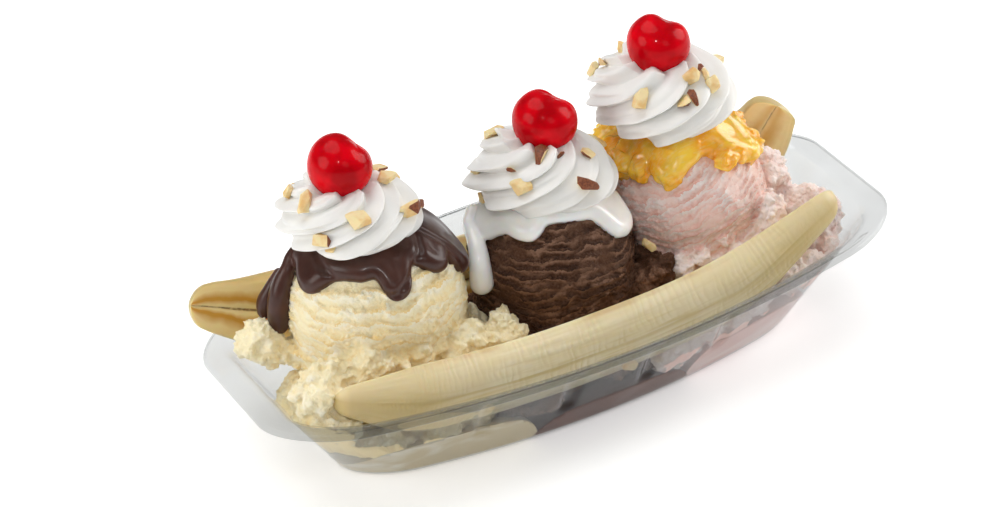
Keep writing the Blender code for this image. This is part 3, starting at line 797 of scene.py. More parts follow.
def crumb_lumps(lumps, seed, share):
    """Small broken crumbs that cling to bigger lumps."""
    rng = random.Random(seed)
    crumbs = []
    for centre, size, _, _ in lumps:
        for k in range(int(size * size * share)):
            way = Vector([rng.gauss(0, 1) for _ in range(3)]).normalized()
            small = 0.7 + 1.7 * rng.random() ** 2.2
            spot = centre + way * size * rng.uniform(0.86, 1.08)
            shape = [small * rng.uniform(0.7, 1.3) for _ in range(3)]
            crumbs.append((spot, shape, 0.5, seed + k * 7))
    return crumbs


def make_scoop(name, ball, foot_radius, seed, crumbs, voxel):
    """A ball of ice cream, pressed down on the crumbling foot that it squeezed out."""
    centre, radius = Vector(ball[0]), ball[1]
    sunk = [(centre - Vector((0, 0, PRESS * k)), radius * (1 - 0.012 * k), 0.5 / radius, seed)
            for k in range(4)]
    sunk.append((Vector((centre.x, 0, FOOT)), (foot_radius, foot_radius, 12), 0.1, seed + 2))
    ball_part = lump_cloud(name, sunk, 5)
    trails = []
    for number, (start, end, size, count) in enumerate(TRAILS[name]):
        trails += trail_lumps(start, end, size, count, seed * 10 + number)
    skirt = lump_cloud("skirt", trails, 4)
    small = lump_cloud("crumbs", crumb_lumps(trails, seed * 31, crumbs), 2)
    return weld(join(name, [ball_part, skirt, small]), voxel, 1, 0.4)


# ---- pools ----------------------------------------------------------------------------------
def make_pool(sizes, seed):
    """A melted layer on the dish's floor, a little higher where it climbs the near wall."""
    left, right, level, rise = sizes
    columns, rows = 90, 70
    points = []
    for low in (False, True):
        for i in range(columns + 1):
            for j in range(rows + 1):
                u, v = i / columns, j / rows
                edge = 1.0 - abs(2 * u - 1) ** 6
                swell = unevenness(u * 3.6, v * 4.4, seed)
                small = unevenness(u * 16, v * 19, seed + 5)
                height = level * (0.35 + 0.65 * edge) + rise * edge * (0.5 - v)
                height += swell + 0.35 * small
                ragged = 1.5 * unevenness(v * 9, seed, u)
                x = left + (right - left) * u + ragged * (abs(2 * u - 1) ** 4)
                points.append(Vector((x, -50 + 100 * v, -4 if low else height)))
    row = rows + 1
    under = (columns + 1) * row
    faces = grid_faces(columns, rows) + [face[::-1] for face in grid_faces(columns, rows, under)]
    border = [i * row for i in range(columns + 1)] + [columns * row + j for j in range(1, row)]
    border += [i * row + rows for i in range(columns - 1, -1, -1)]
    border += range(rows - 1, 0, -1)
    for here, there in zip(border, border[1:] + border[:1]):
        faces.append((here, under + here, under + there, there))
    return mesh_object("pool", points, faces)


# ---- sauces ---------------------------------------------------------------------------------
CAP_STEPS, CAP_RINGS = 240, 34
CAP_STAND = 0.7               # how far a cap's edge starts off the ball
BEAD, BEAD_IN, BEAD_WIDTH = 0.55, 3.8, 2.8    # the swollen edge: by what part, where, how wide
FOLD, FOLD_WIDTH = 0.55, 2.0
SAUCE_SMOOTHING, FRUIT_SMOOTHING = 14, 7


def make_cap(ball, rim, depth, seed, heap=0.0, creases=()):
    """A poured cap: even or heaped on top, with a swollen rounded edge that stands proud."""
    centre, radius = Vector(ball[0]), ball[1]
    turns = np.arange(CAP_STEPS) * 360.0 / CAP_STEPS
    polar = np.interp(turns, *np.array(rim).T, period=360.0)
    for _ in range(2):
        polar = (np.roll(polar, 1) + polar * 2 + np.roll(polar, -1)) / 4
    facing = np.radians(turns)
    edge = np.stack((np.cos(facing) * polar, np.sin(facing) * polar), axis=1)
    along = np.roll(edge, -1, axis=0) - edge
    shares = [math.sin(math.pi / 2 * k / CAP_RINGS) for k in range(1, CAP_RINGS + 1)]
    rings = []
    for share in shares:
        # how far each place is from the edge, over the ball
        gap = (edge * share)[:, None, :] - edge[None, :, :]
        part = np.clip((gap * along).sum(-1) / (along ** 2).sum(-1), 0.0, 1.0)
        inward = np.sqrt(((gap - part[..., None] * along) ** 2).sum(-1)).min(-1)
        inward = inward * math.radians(radius)
        heaped = heap * (1.0 - smooth_step(0.2, 0.9, share))
        ring = []
        for (east, north), inside in zip(edge * share, inward):
            azimuth, polar = math.degrees(math.atan2(north, east)), math.hypot(east, north)
            bend = math.sqrt(1.0 - (1.0 - min(inside / depth, 1.0)) ** 2)
            bead = 1.0 + BEAD * math.exp(-((inside - BEAD_IN) / BEAD_WIDTH) ** 2)
            for start, lean in creases:
                aside = (azimuth - start - lean * (polar - 45.0)) * 0.7
                aside /= math.hypot(1.0, 0.7 * lean)
                fold = math.exp(-(aside / FOLD_WIDTH) ** 2) * smooth_step(22.0, 34.0, polar)
                bead *= 1.0 - FOLD * fold
            uneven = noise.noise(way_to(azimuth, polar) * 3.2 + Vector((seed, 0, 0)))
            off = CAP_STAND + (depth - CAP_STAND) * bend * bead + heaped + 0.35 * uneven * bend
            ring.append(centre + way_to(azimuth, polar) * (radius + off))
        rings.append(ring)
    for share in reversed(shares[::3]):
        ways = (way_to(math.degrees(math.atan2(north, east)), math.hypot(east, north))
                for east, north in edge * share)
        rings.append([centre + way * (radius - 1.2) for way in ways])
    return skin_rings("cap", rings)


def run_lumps(places):
    """A run of sauce that hangs free: each place is x, y, z and the run's radius there."""
    anchors = [Vector(place) for place in places]
    spots = [curve_through(anchors, i / 40) for i in range(41)]
    return [(spot.xyz, spot.w, 0.0, 1) for spot in spots]


# where each cap's edge lies round the ball, as (azimuth, angle from straight up)
RIMS = {
    "sauce_chocolate": (
        (-180, 58), (-174, 60.5), (-167, 61), (-160, 58.5), (-154, 53), (-148, 48), (-140, 46.5),
        (-130, 46.5), (-123, 47), (-114, 45.5), (-110.5, 45), (-107.5, 52), (-104.5, 58),
        (-101, 61), (-97, 62), (-92, 61.5), (-88, 59.5), (-84, 55), (-80.5, 49), (-77, 44.5),
        (-74, 43.5), (-70, 46.5), (-66, 51.5), (-61, 56), (-55, 59), (-48, 59.5), (-44, 58),
        (-41, 54), (-38.5, 58), (-36, 66), (-31, 75), (-20, 79), (-2, 77), (8, 68), (18, 55),
        (35, 47), (53, 47), (62, 61), (71, 47), (95, 46), (104, 67), (113, 46), (140, 52),
        (155, 56), (170, 53)),
    "sauce_marshmallow": (
        (150, 54), (168, 57.5), (-176, 58), (-170, 53), (-165, 50), (-158, 47.5), (-146, 49.5),
        (-136, 50), (-130, 49), (-123, 44), (-118.5, 38), (-105, 37.5), (-86, 40), (-71, 43),
        (-65.5, 49), (-62.5, 57), (-57, 65), (-47, 70), (-37, 71), (-28, 68), (-20, 60), (-8, 52),
        (15, 44), (28, 45), (37, 58), (47, 45), (85, 43), (98, 61), (109, 44), (130, 49)),
    "topping_pineapple": (
        (133, 58), (147, 61), (165, 61), (176, 57), (-174, 50), (-169, 42), (-163, 41),
        (-155, 46.5), (-145, 50.5), (-136, 52), (-125, 48), (-114, 39.5), (-94, 31.5), (-80, 33),
        (-71, 41), (-57, 49.5), (-44, 57), (-35, 61), (-22, 63), (-12, 62), (-5, 56), (4, 48),
        (20, 42), (60, 40), (85, 50), (108, 41), (120, 48)),
}
# folds where two lobes of a sauce meet: azimuth, and its turn in degrees for each degree down
CREASES = {"sauce_chocolate": ((-148, 3.6), (-74, -1.9), (-36, 0.2))}
# runs that hang free of the ball: x, y, z and radius, from the cap down
RUNS = {
    "sauce_chocolate": (
        ((-80, 14, 73.5, 1.9), (-83.1, 14, 70.7, 2.0), (-85.6, 12, 68, 2.5),
         (-87.8, 12, 64.2, 3.2), (-89.5, 11.8, 60, 3.7), (-90.4, 12, 55.6, 3.9),
         (-90.5, 12.8, 50.5, 3.8), (-90.8, 13, 48.6, 3.4)),
        ((-86, 19, 63, 1.8), (-89.5, 19.5, 57.5, 2.5), (-91.5, 20, 53.5, 3.0),
         (-92, 20, 50.5, 2.8)),
    ),
    "sauce_marshmallow": (
        ((-19.5, 12, 65, 2.4), (-22.2, 9.5, 62.5, 2.5), (-23.8, 3.8, 61.6, 2.8),
         (-25.3, -1.5, 58.9, 3.2), (-26.6, -4.6, 54, 3.7), (-27.0, -5.4, 49.5, 4.0)),
    ),
}


def make_sauce(name, ball, depth, voxel, seed):
    """A poured sauce: its cap and its free runs, welded and drawn smooth as a liquid skin."""
    cap = make_cap(ball, RIMS[name], depth, seed, creases=CREASES.get(name, ()))
    lumps = [lump for places in RUNS[name] for lump in run_lumps(places)]
    return weld(join(name, [cap, lump_cloud("runs", lumps, 3)]), voxel, SAUCE_SMOOTHING)


# clusters of fruit: azimuth, angle from straight up, how far off, spread in degrees, how many
FRUIT = (
    (-178, 46, 0.8, 7, 3), (168, 50, 2.6, 6, 4), (156, 40, 2.6, 6, 3), (152, 56, 4.2, 5, 4),
    (140, 50, 4.6, 6, 4), (136, 58, 5.6, 5, 4), (130, 54, 7.4, 4, 3), (-160, 32, 0.4, 8, 3),
    (-140, 42, 0.0, 6, 4), (-112, 28, 0.0, 8, 3), (-88, 22, 0.0, 7, 2), (-60, 38, 0.2, 8, 3),
    (-40, 48, 0.4, 7, 4), (-20, 54, 0.8, 7, 4), (4, 40, 1.0, 8, 3), (38, 34, 0.6, 9, 3),
    (74, 34, 0.6, 9, 3), (112, 34, 0.6, 9, 3),
)


def make_pineapple(ball, voxel):
    """Crushed pineapple: wedge-shaped chunks crowded in a little syrup."""
    rng = random.Random(21)
    centre, radius = ball
    cap = make_cap(ball, RIMS["topping_pineapple"], 3.0, 6, 3.6)
    chunks = []
    for azimuth, polar, off, spread, count in FRUIT:
        for _ in range(count):
            az = azimuth + rng.uniform(-1, 1) * spread / max(math.sin(math.radians(polar)), 0.4)
            po = polar + rng.uniform(-1, 0.8) * spread * 0.7
            shape = sorted((rng.uniform(2.6, 3.4), rng.uniform(3.2, 4.2), rng.uniform(3.8, 5.4)))
            rng.shuffle(shape)
            spot = Vector(centre) + way_to(az, po) * (radius + off + rng.uniform(-0.6, 0.8))
            chunks.append((spot, shape, 0.40, rng.randrange(99)))
    pieces = [cap, lump_cloud("chunks", chunks, 4)]
    return weld(join("fruit", pieces), voxel, FRUIT_SMOOTHING)


# ---- cream and cherries ---------------------------------------------------------------------
def make_cream(name, tree, material, depth, pleats, twist):
    """A rosette piped in one turn of the hand."""
    base, radius, height, start, widest, lean, tip = CREAMS[name]
    columns, rows = 416, 132
    points = [Vector((i / columns, j / rows, 0)) / MM
              for i in range(columns + 1) for j in range(rows + 1)]
    sheet = mesh_object(name, points, grid_faces(columns, rows))
    return run_tree(sheet, tree, Material=material, Base=Vector(base) * MM, Radius=radius * MM,
                    Height=height * MM, Pleats=float(pleats), Pleat_depth=depth, Twist=twist,
                    Start=math.radians(start), Widest=widest, Lean=lean * MM, Tip=tip,
                    Seed=start * 0.37)


def make_cherry(name, radius):
    """A stoned cherry: heart-shaped, drawn in round the dimple where its stalk was."""
    place, axis, shoulders, size, heart, crease, seed, dip = CHERRIES[name]
    axis = Vector(axis).normalized()
    forth = axis.cross(Vector(shoulders)).normalized()
    pose = Matrix((forth.cross(axis), forth, axis)).transposed()
    rings = []
    for k in range(57):
        polar = math.pi * (k + 0.12) / 56.24
        ring = []
        narrow = 1.0 - 0.12 * smooth_step(0.35, 1.0, polar / math.pi)
        for i in range(80):
            angle = math.tau * i / 80
            way = Vector((math.sin(polar) * math.cos(angle), math.sin(polar) * math.sin(angle),
                          math.cos(polar) * 0.97))
            dimple = 1.0 - dip * math.exp(-(polar / 0.42) ** 2)
            lobe = 1.0 + 0.02 * math.cos(2 * angle) * math.sin(polar)
            shoulder = math.exp(-((polar - 0.60) / 0.42) ** 2)
            lobe += heart * (math.cos(2 * angle) - 0.4) * shoulder
            folds = math.exp(-((polar - 0.42) / 0.26) ** 2) * crease
            bent = 5 * angle + seed + 3 * unevenness(angle, seed, 0)
            lobe -= folds * max(0.0, math.sin(bent)) ** 2
            slow = 0.012 * noise.noise(way * 1.6 + Vector((seed, 0, 0)))
            away = way * radius * size * dimple * (lobe + slow)
            away.xy *= narrow
            ring.append(Vector(place) + pose @ away)
        rings.append(ring)
    return skin_rings(name, rings)


# ---- chopped nuts ---------------------------------------------------------------------------
# Each kind: half sizes, how many corners, and where its brown skin is
NUT_KINDS = (
    ("nut_chunk", (1.0, 0.78, 0.55), 15, None),
    ("nut_half_skinned", (1.0, 0.80, 0.60), 16, (1, 0.2, 0.3)),
    ("nut_block", (1.0, 0.52, 0.42), 22, None),
    ("nut_wedge", (1.0, 0.62, 0.42), 9, (0, 0, 1)),
    ("nut_bit", (1.0, 0.92, 0.66), 26, None),
    ("nut_slice", (1.0, 0.70, 0.20), 16, (0, 1, 0)),
)
# on each cream: azimuth, share of its height, kind, longest size in mm, spin in degrees
NUTS = {
    "cream_left": (
        (150, 0.82, 4, 4.4, 20), (192, 0.92, 2, 7.4, 120), (255, 0.72, 0, 7.0, 0),
        (310, 0.58, 1, 8.2, 80), (220, 0.46, 1, 5.6, 10), (228, 0.32, 5, 4.6, 90),
        (340, 0.92, 0, 6.0, 140), (20, 0.8, 5, 6.0, 90), (4, 0.6, 3, 5.2, 40),
        (335, 0.26, 3, 7.0, 130), (120, 0.55, 0, 5.6, 70), (75, 0.7, 1, 6.2, 15),
        (50, 0.4, 4, 4.8, 0)),
    "cream_middle": (
        (120, 0.8, 1, 6.4, 160), (162, 0.55, 4, 4.8, 30), (225, 0.64, 0, 6.4, 20),
        (242, 0.95, 3, 7.6, 60), (210, 0.92, 3, 4.0, 0), (282, 0.5, 3, 8.4, 130),
        (314, 0.74, 5, 5.2, 80), (274, 0.91, 3, 3.8, 20), (172, 0.14, 4, 3.4, 0),
        (80, 0.5, 0, 6.0, 45), (40, 0.7, 1, 6.0, 100), (10, 0.35, 2, 6.4, 60)),
    "cream_right": (
        (108, 0.86, 2, 6.0, 90), (142, 0.9, 3, 5.4, 30), (132, 0.62, 0, 5.6, 10),
        (278, 0.92, 0, 6.0, 20), (302, 0.9, 3, 3.8, 0), (297, 0.73, 4, 5.2, 0),
        (300, 0.83, 2, 4.4, 60), (356, 0.62, 1, 5.0, 120), (222, 0.76, 2, 8.8, 95),
        (258, 0.74, 3, 8.4, 80), (270, 0.7, 3, 6.0, 70), (75, 0.45, 1, 6.2, 35),
        (35, 0.66, 0, 5.8, 0), (100, 0.3, 4, 4.6, 80)),
}
# place, kind, longest size in mm, spin in degrees
LOOSE_NUTS = (((28.5, -16.5, 48.5), 4, 4.6, 60), ((5.2, -40.2, 24.6), 4, 5.5, 20))

NUT_STANDS = 0.13    # how far a chip's middle stands off the cream, as a part of its size


def nut_chip(name, half, corners, skin, seed):
    """A chip with cut facets, one unit long; its skin shows where it faces one way."""
    rng = random.Random(seed)
    bm = bmesh.new()
    for _ in range(corners):
        way = Vector([rng.gauss(0, 1) for _ in range(3)]).normalized()
        way = Vector([math.copysign(abs(c) ** 0.55, c) for c in way]).normalized()
        bm.verts.new([w * h * rng.uniform(0.9, 1.1) for w, h in zip(way, half)])
    hull = bmesh.ops.convex_hull(bm, input=bm.verts)
    inner = [part for part in hull["geom_interior"] if isinstance(part, bmesh.types.BMVert)]
    bmesh.ops.delete(bm, geom=inner, context='VERTS')
    for axis in range(3):
        reach = max(abs(vert.co[axis]) for vert in bm.verts)
        for vert in bm.verts:
            vert.co[axis] *= half[axis] / reach
    bmesh.ops.dissolve_limit(bm, angle_limit=0.30, verts=bm.verts, edges=bm.edges)
    bmesh.ops.bevel(bm, geom=bm.edges[:], offset=0.07, segments=1, affect='EDGES',
                    clamp_overlap=True)
    bmesh.ops.recalc_face_normals(bm, faces=bm.faces)
    bmesh.ops.triangulate(bm, faces=bm.faces)
    mesh = bpy.data.meshes.new(name)
    bm.to_mesh(mesh)
    bm.free()
    values = []
    for face in mesh.polygons:
        facing = face.normal.dot(Vector(skin).normalized()) if skin else -1.0
        values.append(1.0 if facing > (0.35 if skin == (0, 0, 1) else 0.6) else 0.0)
    store(mesh, "skin", values, domain='FACE')
    return link_object(name, mesh)


def make_nuts(scale, material):
    """Chips pressed a little way into the cream, each at its own place and turn."""
    places, kinds, turns, sizes = [], [], [], []
    for cream, rows in NUTS.items():
        base, height = CREAMS[cream][0], CREAMS[cream][2]
        skin = search_tree(bpy.data.objects[cream + "_piped"])
        for azimuth, share, kind, size, spin in rows:
            a = math.radians(azimuth)
            out = Vector((math.cos(a), math.sin(a), 0))
            start = (Vector(base) + Vector((0, 0, height * share)) + out * 60) * MM
            hit, normal, _, _ = skin.ray_cast(start, -out)
            if hit is None:
                raise RuntimeError(f"no cream at azimuth {azimuth} of {cream}")
            places.append(hit + normal * size * NUT_STANDS * scale * MM)
            kinds.append(kind)
            # the spin is measured from level, as seen from outside
            side = Vector((-math.sin(a), math.cos(a), 0))
            lie = Matrix((side, normal.cross(side), normal)).transposed()
            turns.append((lie @ Matrix.Rotation(math.radians(spin), 3, 'Z')).to_euler())
            sizes.append(size * 0.5 * scale * MM)
    for place, kind, size, spin in LOOSE_NUTS:
        places.append(Vector(place) * MM)
        kinds.append(kind)
        turns.append(Matrix.Rotation(math.radians(spin), 3, 'Y').to_euler())
        sizes.append(size * 0.5 * scale * MM)
    mesh = bpy.data.meshes.new("chopped_nuts")
    mesh.from_pydata(places, [], [])
    store(mesh, "kind", kinds, 'INT')
    store(mesh, "size", sizes)
    store(mesh, "turn", [value for turn in turns for value in turn], 'FLOAT_VECTOR')
    nuts = link_object("chopped_nuts", mesh)
    chips = [nut_chip(*kind, 40 + i) for i, kind in enumerate(NUT_KINDS)]
    run_tree(nuts, nut_tree(chips), Material=material)
    nuts.data.shade_flat()
    for chip in chips:
        remove(chip)
    return nuts


# ---- materials ------------------------------------------------------------------------------
def new_material(name):
    """An empty material, and the place on the piece."""
    made = bpy.data.materials.new(name)
    made.use_nodes = True
    made.node_tree.nodes.clear()
    return made, add(made.node_tree, "ShaderNodeTexCoord", output="Object")


def stored(made, *labels):
    """What a mesh keeps for its points or faces."""
    return [add(made.node_tree, "ShaderNodeAttribute", output="Fac", attribute_name=label)
            for label in labels]


def shade(made, colour, rough, soft=0.0, spread=(1.0, 1.0, 1.0), reach=0.0, bumps=(), **more):
    """Give a material its shader.

    Light goes in by the share soft, as far as reach in metres, less for each colour by spread.
    Each bump is (height, strength, depth in metres), and lies over the one before.
    """
    tree = made.node_tree
    sockets = {"Base Color": colour, "Roughness": rough, "Subsurface Weight": soft,
               "Subsurface Radius": spread, "Subsurface Scale": reach}
    for height, strength, depth in bumps:
        under = {"Normal": sockets["Normal"]} if "Normal" in sockets else {}
        sockets["Normal"] = add(tree, "ShaderNodeBump", {
            "Height": height, "Strength": strength, "Distance": depth, **under})
    sockets.update((key.replace("_", " "), value) for key, value in more.items())
    shader = add(tree, "ShaderNodeBsdfPrincipled", sockets)
    add(tree, "ShaderNodeOutputMaterial", {"Surface": shader})
    return made


def clear_pet(colour, haze):
    """PET sheet, drawn hot over a mould: clear, with a cool cast that adds up at its edges."""
    made, place = new_material("Formed clear PET")
    tree = made.node_tree
    # faint waves from the forming, 12 to 20 mm apart, bend the reflections
    bump = add(tree, "ShaderNodeBump", {
        "Height": clouds(place, 70.0, 1.0), "Strength": 0.35, "Distance": 0.0012})
    clear = add(tree, "ShaderNodeBsdfTransparent", {"Color": (*colour[:3], 1.0)})
    gloss = add(tree, "ShaderNodeBsdfPrincipled", {
        "Base Color": (*srgb("E8E9EA"), 1.0), "Metallic": 1.0, "Roughness": 0.06, "Normal": bump})
    # both faces of the sheet reflect alike, most when seen along it; in places it is misted inside
    facing = add(tree, "ShaderNodeLayerWeight", {"Blend": 0.5, "Normal": bump}, "Facing")
    mist = ramp(clouds(place, 42.0), 0.50, 0.72, haze, haze * 7.0)
    both = add(tree, "ShaderNodeMixShader", {0: facing ** 4.5 * 0.8 + mist, 1: clear, 2: gloss})
    add(tree, "ShaderNodeOutputMaterial", {"Surface": both})
    return made


def banana_flesh(outside, core, seam, striation):
    """Ripe banana: moist flesh, pale outside and golden along the cut core, browning at edges."""
    made, place = new_material("Ripe banana flesh")
    cut, across, along, groove = stored(made, "cut", "across", "along", "groove")
    slow = clouds(place, 90.0, 3.0)
    fine = clouds(place, 520.0, 3.0)
    # strands: long streaks down the length, about 2 mm apart, gone at the tips
    strand = clouds(vector(across * 9.0, along * 5.0), 1.6, 3.0)
    inland = ramp(along, 0.06, 0.22, 0.0, 1.0) * ramp(along, 0.80, 0.94, 1.0, 0.0)
    streak = ramp(strand, 0.50, 0.66, 0.0, 0.55) * inland
    # the fat middle is paler and less yellow than the ends
    middle = ramp(along, 0.18, 0.36, 0.0, 1.0) * ramp(along, 0.72, 0.88, 1.0, 0.0)
    tinged = mixed(middle, srgb("C6AF78"), srgb("D3C296"))
    faded = mixed(middle, outside, srgb("DDCFAD"))
    pale = mixed(ramp(slow, 0.40, 0.68, 0.0, 0.75), faded, tinged)
    streaked = mixed(streak, pale, srgb("C9B47C"))
    # fine cross lines 2.1 mm apart down the 195 mm length, broken up
    wander = clouds(vector(across * 3.0, along * 26.0), 0.9)
    wave = maths('SINE', along * (math.tau * BANANA_LENGTH / 2.1) + wander * 14.0)
    lines = wave * (ramp(wander, 0.40, 0.62, 0.0, 1.0) * inland)
    # painted shade along the two facet valleys; the fibres' own colour along the strand grooves
    dark = maths('MAXIMUM', ramp(groove, 0.2, 1.0, 0.0, 0.5), ramp(lines, 0.0, -1.0, 0.0, 0.40))
    skinless = mixed(dark, streaked, srgb("BFA768"))
    # painted light: the flank beside one edge of the cut, the top of the front half, is paler
    lit_flank = mixed(ramp(across, 0.60, 0.98, 0.0, 0.45), skinless, srgb("FBEFC9"))
    # cut face: a pale rim, a golden band each side of a pale middle, and a dark seam
    off = abs(across)
    jitter = slow * 0.5 + off
    inner = ramp(jitter, 0.60, 0.90, 1.0, 0.0) * ramp(jitter, 0.34, 0.50, 0.0, 1.0)
    golden = mixed(inner, srgb("EBD69A"), core)
    line = ramp(slow * 0.08 + off, 0.045, 0.085, 0.8, 0.0) * ramp(fine, 0.38, 0.55, 0.25, 1.0)
    face = mixed(line, mixed(ramp(along, 0.84, 0.94, 0.0, 0.45), golden, srgb("F3DC9C")), seam)
    # the cut edge browns where it has dried
    brown = ramp(off, 0.985, 1.0, 0.0, 1.0) * ramp(strand, 0.56, 0.66, 0.0, 0.4)
    colour = mixed(brown, mixed(cut, lit_flank, face), srgb("B0793A"))
    return shade(made, colour, ramp(fine, 0.3, 0.7, 0.34, 0.52), 0.5, (1.0, 0.62, 0.25), 0.004,
                 ((fine, 0.35, 0.0003), (lines * (1.0 - cut), 0.6, striation)),
                 Specular_IOR_Level=0.42)


def ice_cream(name, body, hollow, pale_and_highlight, softness, skirt_paleness, coarse):
    """Frozen dairy foam, matt: painted light on torn lips and proud crumbs, painted shade in
    pores.
    """
    made, place = new_material(name)
    relief, ball = stored(made, "relief", "ball")
    # ice grains about 0.8 mm across, and slow drifts of tone over 15 mm
    grain = clouds(place, 1150.0, 3.0, 0.65)
    drift = clouds(place, 65.0)
    # each lip, ragged at the grains' size: painted highlight on its free edge, painted shade just
    # above
    lit_lip_edges, shaded_lip_gaps, rises = [], [], []
    for label in "ab":
        lips, torn = stored(made, "lips_" + label, "torn_" + label)
        tooth = maths('FRACT', grain * 0.6 + lips)
        ending = ramp(tooth, 0.93, 1.0, 1.0, 0.0)
        edge = ramp(tooth, 0.45, 0.85, 0.0, 1.0) * ending
        lit_lip_edges.append(maths('MULTIPLY', edge, torn, clamp=True))
        shaded_lip_gaps.append(ramp(tooth, 0.02, 0.40, 1.0, 0.0) * torn)
        rises.append(maths('MULTIPLY', tooth * ending, torn, clamp=True))
    open_lip_shade = [deep * (1.0 - rise) for deep, rise in zip(shaded_lip_gaps, reversed(rises))]
    tone = grain * 0.4 + relief
    # painted shade in the low crumbs and the open gaps above the lips, weaker on the skirt
    painted_shade = maths('ADD', ramp(tone, 0.56, 0.20, 0.0, 1.0), maths('MAXIMUM', *open_lip_shade), clamp=True)
    shade_share = painted_shade * ramp(ball, 0.0, 1.0, 0.45, 0.85)
    # painted light on proud crumbs and lip edges; the broken skirt is paler than the ball
    pale = maths('MAXIMUM', ramp(tone, 0.66, 1.05, 0.0, 1.0), maths('MAXIMUM', *lit_lip_edges))
    lit_and_pale = maths('ADD', pale, ramp(ball, 0.0, 1.0, skirt_paleness, 0.0), clamp=True)
    # the hollow colour also tints slow random drifts of tone
    base = mixed(lit_and_pale, mixed(ramp(drift, 0.42, 0.66, 0.0, 0.25), body, hollow), pale_and_highlight)
    # crisp lips first, then the grains over them
    return shade(made, mixed(shade_share, base, hollow), 0.62, softness, (1.0, 0.8, 0.6), 0.0020,
                 ((maths('MAXIMUM', *rises), 0.5, 0.0008), (grain, 0.8, coarse)),
                 Specular_IOR_Level=0.22)


def melted(name, body, cloud, roughness):
    """What has run to the floor of the dish: smooth and wet, with cloudy smears of cream in it."""
    made, place = new_material(name)
    stretch = add(made.node_tree, "ShaderNodeMapping", {
        "Vector": place, "Scale": (26.0, 26.0, 95.0)})
    cloudy = ramp(clouds(stretch, 1.0, 3.0, distortion=0.8), 0.46, 0.62, 0.0, 0.9)
    return shade(made, mixed(cloudy, body, cloud), roughness, 0.3, (1.0, 0.7, 0.45), 0.002,
                 Specular_IOR_Level=0.08)


def poured_sauce(name, body, light, roughness, softness, coat):
    """A sauce that has set in the cold: softly glossy, thinner and lighter in places."""
    made, place = new_material(name)
    drift = clouds(place, 110.0)
    uneven = ramp(drift, 0.3, 0.7, roughness * 0.8, roughness * 1.25)
    return shade(made, mixed(ramp(drift, 0.38, 0.66, 0.0, 1.0), body, light), uneven, softness,
                 (1.0, 0.6, 0.4), 0.0025, ((drift, 0.25, 0.0010),),
                 Coat_Weight=coat, Coat_Roughness=0.12, Specular_IOR_Level=0.36)


def pineapple_in_syrup(flesh, deep, pale):
    """Crushed pineapple: translucent wet fruit, streaked by its fibres and glazed with syrup."""
    made, place = new_material("Crushed pineapple in syrup")
    tree = made.node_tree
    patch = add(tree, "ShaderNodeTexVoronoi", {"Vector": place, "Scale": 210.0},
                feature='SMOOTH_F1')
    stretch = add(tree, "ShaderNodeMapping", {
        "Vector": place, "Rotation": (0.5, 0.7, 0.3), "Scale": (260.0, 1500.0, 900.0)})
    fibre = clouds(stretch, 1.0, 3.0, distortion=0.5)
    base = mixed(ramp(clouds(place, 120.0, 3.0), 0.36, 0.62, 0.0, 1.0), deep, flesh)
    return shade(made, mixed(ramp(fibre, 0.50, 0.72, 0.0, 0.45), base, pale), 0.14, 0.6,
                 (1.0, 0.62, 0.18), 0.0030, ((fibre * 0.35 + patch, 0.22, 0.0007),),
                 Coat_Weight=0.5, Coat_Roughness=0.05, IOR=1.40)


def whipped_cream(colour):
    """Dairy cream whipped to a firm foam: soft white, its folds filled with scattered light."""
    made, place = new_material("Whipped dairy cream")
    share = ramp(clouds(place, 140.0), 0.4, 0.7, 0.0, 0.5)
    return shade(made, mixed(share, colour, srgb("F3F2EE")), 0.46, 0.6, (1.0, 0.95, 0.88),
                 0.0022, ((clouds(place, 1800.0), 0.12, 0.0002),), Specular_IOR_Level=0.4)


def preserved_cherry(colour, deep):
    """A cherry kept in syrup: taut translucent skin, dyed bright red, as glossy as glass."""
    made, place = new_material("Cherry in syrup")
    share = ramp(clouds(place, 130.0), 0.36, 0.66, 0.0, 1.0)
    return shade(made, mixed(share, deep, colour), 0.24, 0.4, (1.0, 0.10, 0.08), 0.004,
                 ((clouds(place, 700.0), 0.08, 0.0003),),
                 Coat_Weight=0.14, Coat_Roughness=0.04, Specular_IOR_Level=0.04)


def chopped_almond(flesh, skin):
    """Roasted almonds, chopped: waxy cream-coloured cuts and papery brown skin with fine ribs."""
    made, place = new_material("Chopped roasted almond")
    ribs = clouds(place, 1500.0)
    toast = ramp(clouds(place, 260.0), 0.42, 0.68, 0.0, 0.8)
    dark = mixed(ramp(ribs, 0.42, 0.6, 0.0, 0.7), skin, srgb("5A2A14"))
    colour = mixed(stored(made, "skin")[0], mixed(toast, flesh, srgb("E2B46B")), dark)
    return shade(made, colour, 0.5, 0.35, (1.0, 0.7, 0.35), 0.0015, ((ribs, 0.4, 0.0003),))


def pale_floor(colour, glow):
    """Matt white board, lit from every side, so that it reads as an even pale ground."""
    made, place = new_material("Matt white board")
    fibre = ramp(clouds(place, 900.0, 1.0), 0.3, 0.7, 0.0, 0.02)
    return shade(made, mixed(fibre, colour, srgb("F0F0F0")), 0.9, Specular_IOR_Level=0.1,
                 Emission_Color=(1.0, 1.0, 1.0, 1.0), Emission_Strength=glow)


# ---- settings -------------------------------------------------------------------------------
def length_property(name, description, millimetres):
    """A length that a user may change, kept in metres."""
    return FloatProperty(name=name, description=description, default=millimetres * MM, min=0.0,
                         precision=5, unit='LENGTH', subtype='DISTANCE')


def colour_property(name, description, code):
    """A colour that a user may change."""
    return FloatVectorProperty(name=name, description=description, default=srgb(code), size=3,
                               min=0.0, max=1.0, subtype='COLOR')


